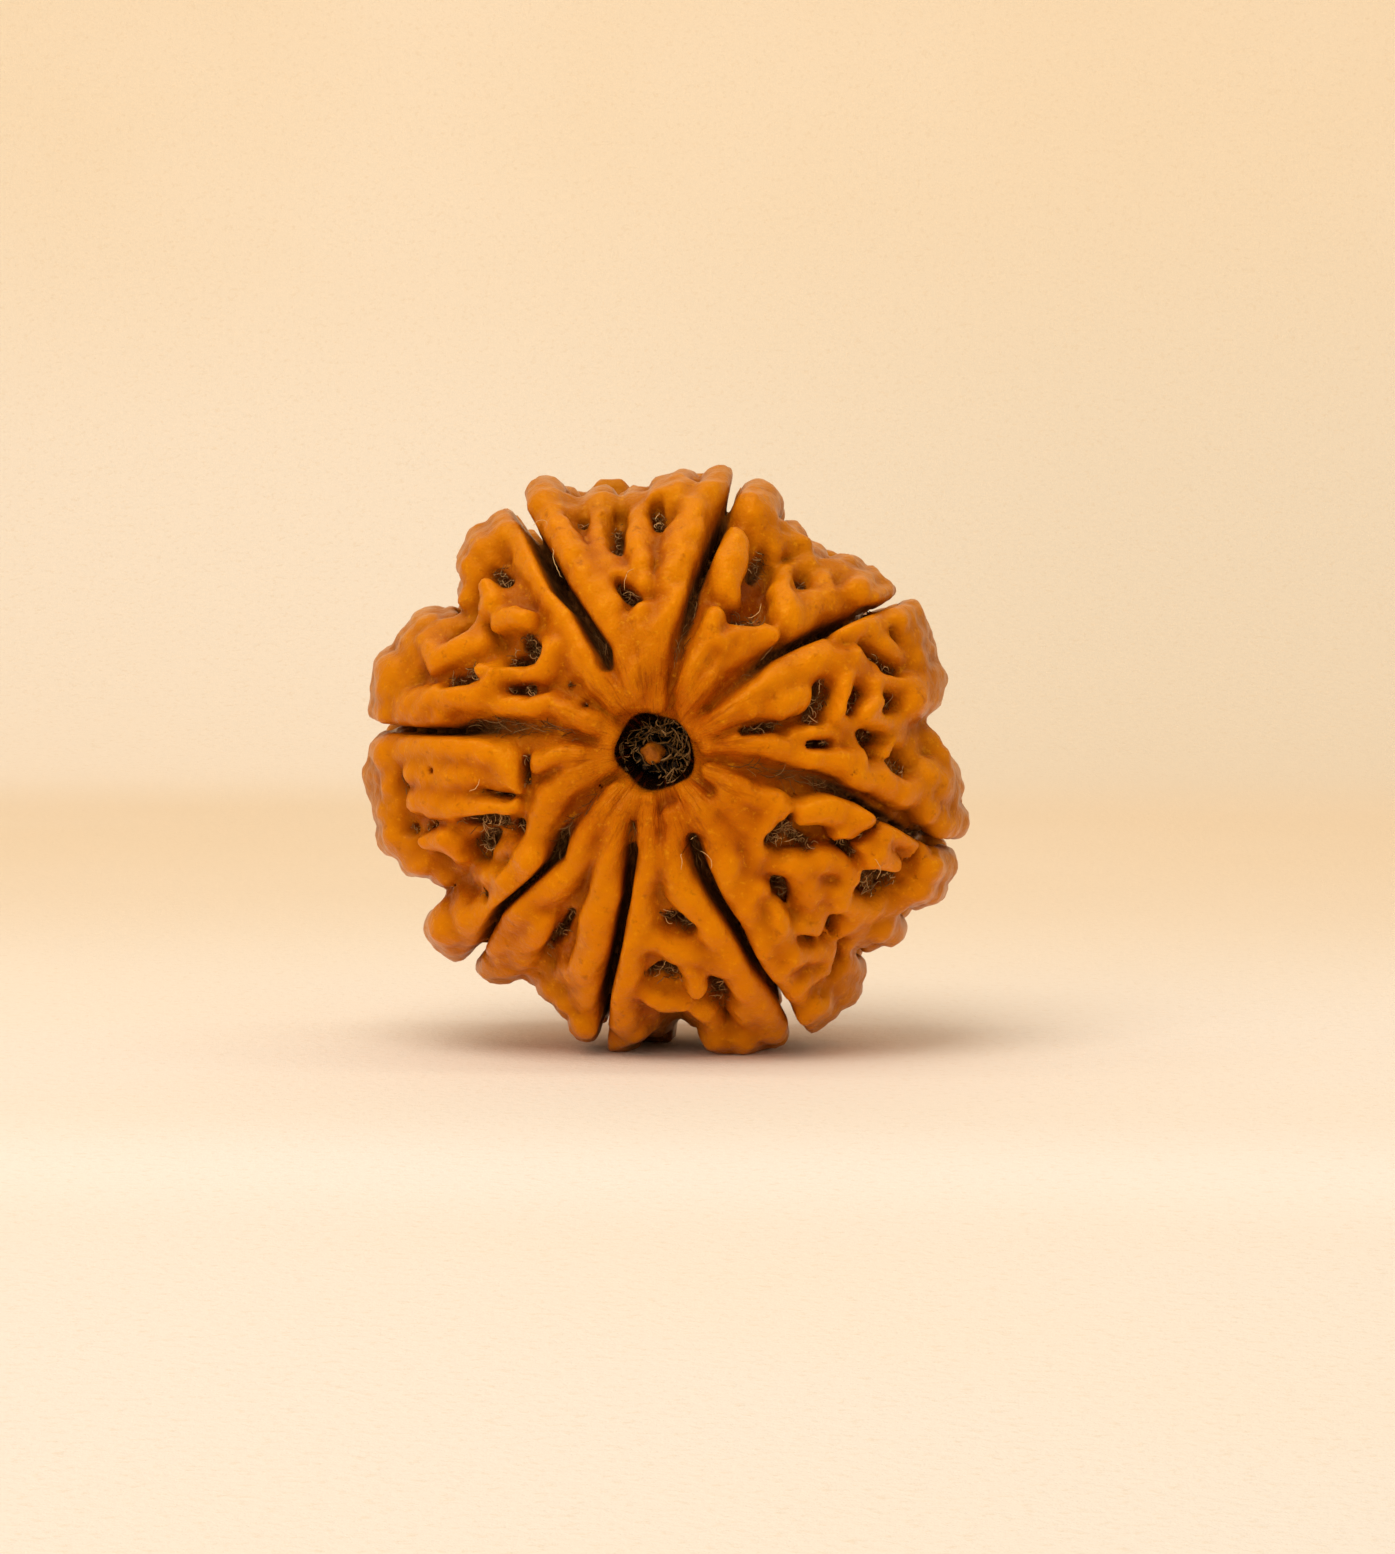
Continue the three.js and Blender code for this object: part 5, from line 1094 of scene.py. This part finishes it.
def inside_box(verts, box_low, box_high):
    low = np.array(box_low) / MM - AXIS_PLACE
    high = np.array(box_high) / MM - AXIS_PLACE
    return np.clip(verts, low, high)


def tube_distance(q, points, radius):
    nearest = np.full(q.shape[:-1], FAR)
    for a, b in zip(points[:-1], points[1:]):
        span = b - a
        out = q - a
        t = np.clip(out @ span / (span @ span), 0, 1)[..., None]
        out = out - t * span
        nearest = np.minimum(nearest, np.sqrt((out * out).sum(-1)) - radius)
    return nearest


def curl(start, heading, facing, length, bend, generator):
    """A thin fibre that wanders over a plane, from a start, with a bend in radians for each millimetre."""
    step = 0.07
    first = np.cross(facing, heading)
    points = [np.array(start, float)]
    angle = 0.0
    for _ in range(max(3, int(length / step))):
        angle += step * (bend + generator.normal(0, 3.0))
        way = math.cos(angle) * heading + math.sin(angle) * first + generator.normal(0, 0.25) * facing
        points.append(points[-1] + step * way / np.linalg.norm(way))
    return np.array(points)


def any_heading(facing, generator):
    heading = np.cross(facing, generator.normal(size=3))
    return heading / np.linalg.norm(heading)


def along_surface(way, facing):
    """The part of a way that runs along the surface, a unit long."""
    heading = way - facing * (way @ facing)
    return heading / np.linalg.norm(heading)


def pit_fibres(generator):
    """Tufts of fibres on the floors of the front pits."""
    fibres = []
    for points, widths in face_net("pits", -1):
        normals = skin(points)[1]
        for i, width in enumerate(widths):
            for _ in range(int(PIT_TUFT * max(width, 0.15) + 2)):
                facing = normals[i]
                heading = any_heading(facing, generator)
                start = (points[i] - facing * generator.uniform(0.75, 1.35)
                         + any_heading(facing, generator) * width * generator.uniform(0.1, 0.95))
                length = generator.uniform(0.7, 2.0) * width + 0.15
                line = curl(start, heading, facing, length, generator.normal(0, 4), generator)
                fibres.append((line, generator.uniform(0.011, 0.024), generator.random() ** 3))
    return fibres


def cleft_fibres(generator):
    """Fibres that lie along the shallow inner floors of the front clefts."""
    fibres = []
    for cleft, tuft in zip(CLEFTS, CLEFT_TUFTS):
        for (x, z, width, depth), (x2, z2, _, depth2) in zip(cleft[:-1], cleft[1:]):
            if depth2 > DEEPEST_FIBRES:
                break
            here, there = face_point(x, z, -1), face_point(x2, z2, -1)
            facing = skin(here)[1]
            heading = along_surface(there - here, facing)
            side = np.cross(facing, heading)
            for _ in range(int(tuft * width)):
                start = (here + (there - here) * generator.uniform(-0.3, 0.8)
                         - facing * depth * generator.uniform(0.7, 1.0)
                         + side * width * generator.uniform(-0.6, 0.6))
                length, bend = generator.uniform(0.4, 1.0), generator.normal(0, 0.4)
                line = curl(start, heading, facing, length, bend, generator)
                fibres.append((line, generator.uniform(0.010, 0.018), 0.45 * generator.random() ** 3))
    return fibres


def mouth_fibres(generator):
    """The frayed fibres that fill the mouth of the hole round the stub, with some empty places."""
    fibres = []
    facing = np.array([0.0, -1.0, 0.0])
    while len(fibres) < MOUTH_TUFT:
        angle = generator.uniform(0, 2 * math.pi)
        rho = 0.35 + 1.05 * math.sqrt(generator.random())
        start = np.array([rho * math.cos(angle), -generator.uniform(6.8, 7.7), rho * math.sin(angle)])
        if any(math.hypot(start[0] - x, start[2] - z) < radius for x, z, radius in MOUTH_VOIDS):
            continue
        heading = any_heading(facing, generator)
        line = curl(start, heading, facing, generator.uniform(0.25, 0.8), generator.normal(0, 2), generator)
        away = np.hypot(line[:, 0], line[:, 2])
        line[:, ::2] *= (np.minimum(away, 1.42) / away)[:, None]
        fibres.append((line, generator.uniform(0.015, 0.05), 0.3 * generator.random() ** 2))
    return fibres


def long_hairs(generator):
    """The few loose hairs that lie over the ridges."""
    hairs = []
    for x, z, degrees, length, bend in LONG_HAIRS:
        start = face_point(x, z, -1)
        facing = skin(start)[1]
        way = np.array([math.cos(math.radians(degrees)), 0, math.sin(math.radians(degrees))])
        heading = along_surface(way, facing)
        line = curl(start + 0.06 * facing, heading, facing, length, bend, generator)
        lift = [HAIR_LIFT * math.sin(math.pi * i / len(line)) for i in range(len(line))]
        lifted = np.array([point + facing * rise for point, rise in zip(line, lift)])
        hairs.append((lifted, HAIR_RADIUS, 1.0))
    return hairs


def make_fibres():
    """One piece of thin three-sided tubes for the fibres in the pits, the clefts and the mouth."""
    generator = np.random.default_rng(8)
    verts, faces, shades = [], [], []
    fibres = pit_fibres(generator) + cleft_fibres(generator) + mouth_fibres(generator) + long_hairs(generator)
    for line, radius, shade in fibres:
        first = sum(len(v) for v in verts)
        verts.append(tube(line, radius))
        shades.append(np.full(len(verts[-1]), shade))
        faces.append(tube_faces(len(line)) + first)
    verts = inside_box(np.concatenate(verts), *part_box("stone"))
    piece = mesh_object("fibres", verts, np.concatenate(faces))
    keep_values(piece, shade=np.concatenate(shades))
    print("fibres", len(piece.data.polygons) * 2, "triangles")
    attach(piece, "root")
    return piece


def tube(line, radius):
    """The corners of a three-sided tube that thins towards both ends."""
    along = unit(np.gradient(line, axis=0))
    side = unit(np.cross(along, (0.3, 0.5, 0.81)))
    other = np.cross(along, side)
    share = np.linspace(-1, 1, len(line))
    size = radius * np.sqrt(np.maximum(1 - share**4, 0.05))[:, None]
    rings = [line + size * (math.cos(a) * side + math.sin(a) * other) for a in THIRDS_OF_A_TURN]
    return np.stack(rings, 1).reshape(-1, 3)


def tube_faces(count):
    quads = []
    for i in range(count - 1):
        for k in range(3):
            a, b = 3 * i + k, 3 * i + (k + 1) % 3
            quads.append((a, b, b + 3, a + 3))
    return np.array(quads)


def fibre_material():
    n = Nodes("loose_fibre")
    shade = n.attribute("shade")
    colour = n.mix(shade, (0.095, 0.042, 0.007, 1), (0.80, 0.47, 0.19, 1))
    return n.finish(Base_Color=colour, Roughness=0.6, Specular_IOR_Level=0.1)


def make_stub():
    """The tan end of the strand's pith, which stands out of the fibres in the front mouth."""
    grid = Grid((-0.85, -7.8, -0.85), (0.55, -6.2, 0.55), 0.045)
    places = grid.points()
    x, y, z = places[..., 0], places[..., 1], places[..., 2]
    lumps = 0.05 * np.sin(5 * x + 3 * y + 1) * np.sin(6 * z + 2 * y) + 0.02 * np.sin(13 * x + 9 * z)
    field = tube_distance(places, np.array([(-0.1, -6.6, -0.1), (-0.14, -7.15, -0.12)]), 0.42) + lumps
    verts, quads = surface_net(field, grid)
    piece = mesh_object("stub", settle(verts, field, grid, 2), quads)
    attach(piece, "root")
    return piece


def stub_material():
    n = Nodes("pith")
    lumps = n.noise(2600, 4, 0.65)
    colour = n.mix(n.between(lumps, 0.3, 0.7), (0.27, 0.070, 0.002, 1), (0.52, 0.150, 0.003, 1))
    return n.finish(Base_Color=colour, Roughness=0.6, Normal=n.bump(lumps, 0.5, 0.00012),
                    Specular_IOR_Level=0.15)


def strand_material():
    n = Nodes("dried_fibre")
    fibres = n.noise(1, 4, 0.7, n.place((4200, 900, 4200)))
    colour = n.mix(n.between(fibres, 0.3, 0.75), (0.010, 0.005, 0.003, 1), (0.11, 0.055, 0.018, 1))
    stub = n.between(n.attribute("stub"), 0.5, 0.3)
    colour = n.mix(stub, colour, (0.24, 0.062, 0.008, 1))
    normal = n.bump(fibres, 0.6, 0.0001)
    return n.finish(Base_Color=colour, Roughness=0.75, Normal=normal)


def stage_material():
    n = Nodes("pale_paper")
    wall, floor = (0.925, 0.755, 0.535, 1), (0.93, 0.835, 0.715, 1)
    cloud, painted_shade_tone = (0.96, 0.82, 0.64, 1), (0.79, 0.61, 0.41, 1)
    shaded_bend_right, shaded_bend_left = (0.88, 0.755, 0.58, 1), (0.95, 0.83, 0.675, 1)
    painted_light_tone, thread = (0.99, 0.92, 0.82, 1), (0.80, 0.60, 0.38, 1)
    y, z = n.axis("Y"), n.axis("Z")
    colour = n.mix(n.between(y, -0.01, 0.10), floor, wall)
    colour = n.tint(colour, n.between(n.noise(16, 3), 0.35, 0.7), 0.5, cloud)
    # Painted shade: the floor darker behind the bead, towards the bend.
    painted_shade_far_floor = n.math("MULTIPLY", n.between(y, 0.02, 0.07), n.between(z, 0.012, 0.002))
    colour = n.tint(colour, painted_shade_far_floor, 0.35, painted_shade_tone)
    # Painted shade in the sweep's bend, darker on the right than on the left.
    bend = n.math("MULTIPLY", n.between(z, 0.055, 0.012), n.between(y, 0.12, 0.17))
    leftwards = n.between(n.axis("X"), 0.025, -0.045)
    colour = n.mix(bend, colour, n.mix(leftwards, shaded_bend_right, shaded_bend_left))
    # Painted light: a paler band across the floor in front of the bead.
    painted_light_band = n.between(n.math("ABSOLUTE", n.math("ADD", y, 0.036)), 0.016, 0.0)
    colour = n.tint(colour, painted_light_band, 0.6, painted_light_tone)
    weave = n.noise(2200, 3, 0.7)
    colour = n.tint(colour, n.between(weave, 0.52, 0.72), 0.28, thread)
    return n.finish(Base_Color=colour, Roughness=0.85, Normal=n.bump(weave, 0.35, 0.0003))


def make_stage():
    """A pale sheet that runs back from under the bead and sweeps up behind it."""
    width, front, back, rise, bend, steps = 0.9, -0.35, 0.16, 0.5, 0.10, 12
    profile = [(front, 0.0), (back, 0.0)]
    for i in range(1, steps + 1):
        a = math.pi / 2 * i / steps
        profile.append((back + bend * math.sin(a), bend * (1 - math.cos(a))))
    profile.append((back + bend, rise))
    verts = [(x, y, z) for y, z in profile for x in (-width / 2, width / 2)]
    faces = [(2 * i, 2 * i + 1, 2 * i + 3, 2 * i + 2) for i in range(len(profile) - 1)]
    mesh = bpy.data.meshes.new("sheet")
    mesh.from_pydata(verts, [], faces)
    mesh.polygons.foreach_set("use_smooth", [True] * len(faces))
    mesh.materials.append(stage_material())
    put_in_scene("sheet", mesh)


def area_light(name, place, target, size, power, colour):
    data = bpy.data.lights.new(name, "AREA")
    data.shape = "RECTANGLE"
    data.size, data.size_y = size
    data.energy = power
    data.color = colour
    light = put_in_scene(name, data)
    light.location = place
    light.rotation_euler = (Vector(target) - Vector(place)).to_track_quat("-Z", "Y").to_euler()


def make_lights():
    middle = (0, 0, 0.012)
    area_light("soft_above", (-0.07, -0.17, 0.35), middle, (0.24, 0.24), 0.75, (1.0, 0.96, 0.90))
    area_light("front_left", (-0.20, -0.34, 0.16), middle, (0.22, 0.22), 0.21, (1.0, 0.94, 0.86))
    area_light("front_right", (0.26, -0.30, 0.12), middle, (0.20, 0.20), 0.10, (1.0, 0.94, 0.86))
    area_light("wall_wash", (0.0, 0.02, 0.30), (0, 0.24, 0.08), (0.5, 0.06), 0.32, (1.0, 0.93, 0.84))
    world = bpy.data.worlds.new("room")
    world.use_nodes = True
    background = world.node_tree.nodes["Background"]
    background.inputs["Color"].default_value = (1.0, 0.90, 0.78, 1)
    background.inputs["Strength"].default_value = 0.41
    bpy.context.scene.world = world


def make_camera():
    """The photograph's view: a little round to the right, a little up, and level."""
    turn, climb = math.radians(VIEW_TURN), math.radians(VIEW_CLIMB)
    right = Vector((math.cos(turn), math.sin(turn), 0))
    back = Vector((math.sin(turn) * math.cos(climb), -math.cos(turn) * math.cos(climb), math.sin(climb)))
    up = back.cross(right)
    aim = Vector(AXIS_PLACE) + right * (HOLE_LEFT / PIXELS_PER_MM) - up * (HOLE_ABOVE / PIXELS_PER_MM)
    data = bpy.data.cameras.new("camera")
    data.sensor_fit = "VERTICAL"
    data.sensor_height = SENSOR_MM
    data.sensor_width = SENSOR_MM
    data.lens = PIXELS_PER_MM * VIEW_DISTANCE / PICTURE_HEIGHT * SENSOR_MM
    data.clip_start, data.clip_end = 0.01, 10
    camera = put_in_scene("camera", data)
    matrix = Matrix((right, up, back)).transposed().to_4x4()
    matrix.translation = (aim + back * VIEW_DISTANCE) * MM
    camera.matrix_world = matrix
    bpy.context.scene.camera = camera


def main():
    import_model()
    make_camera()
    stone = make_stone()
    stone.data.materials.append(stone_material())
    strand = make_strand()
    strand.data.materials.append(strand_material())
    make_fibres().data.materials.append(fibre_material())
    make_stub().data.materials.append(stub_material())
    make_stage()
    make_lights()
    bpy.context.scene.view_settings.view_transform = "Standard"


main()
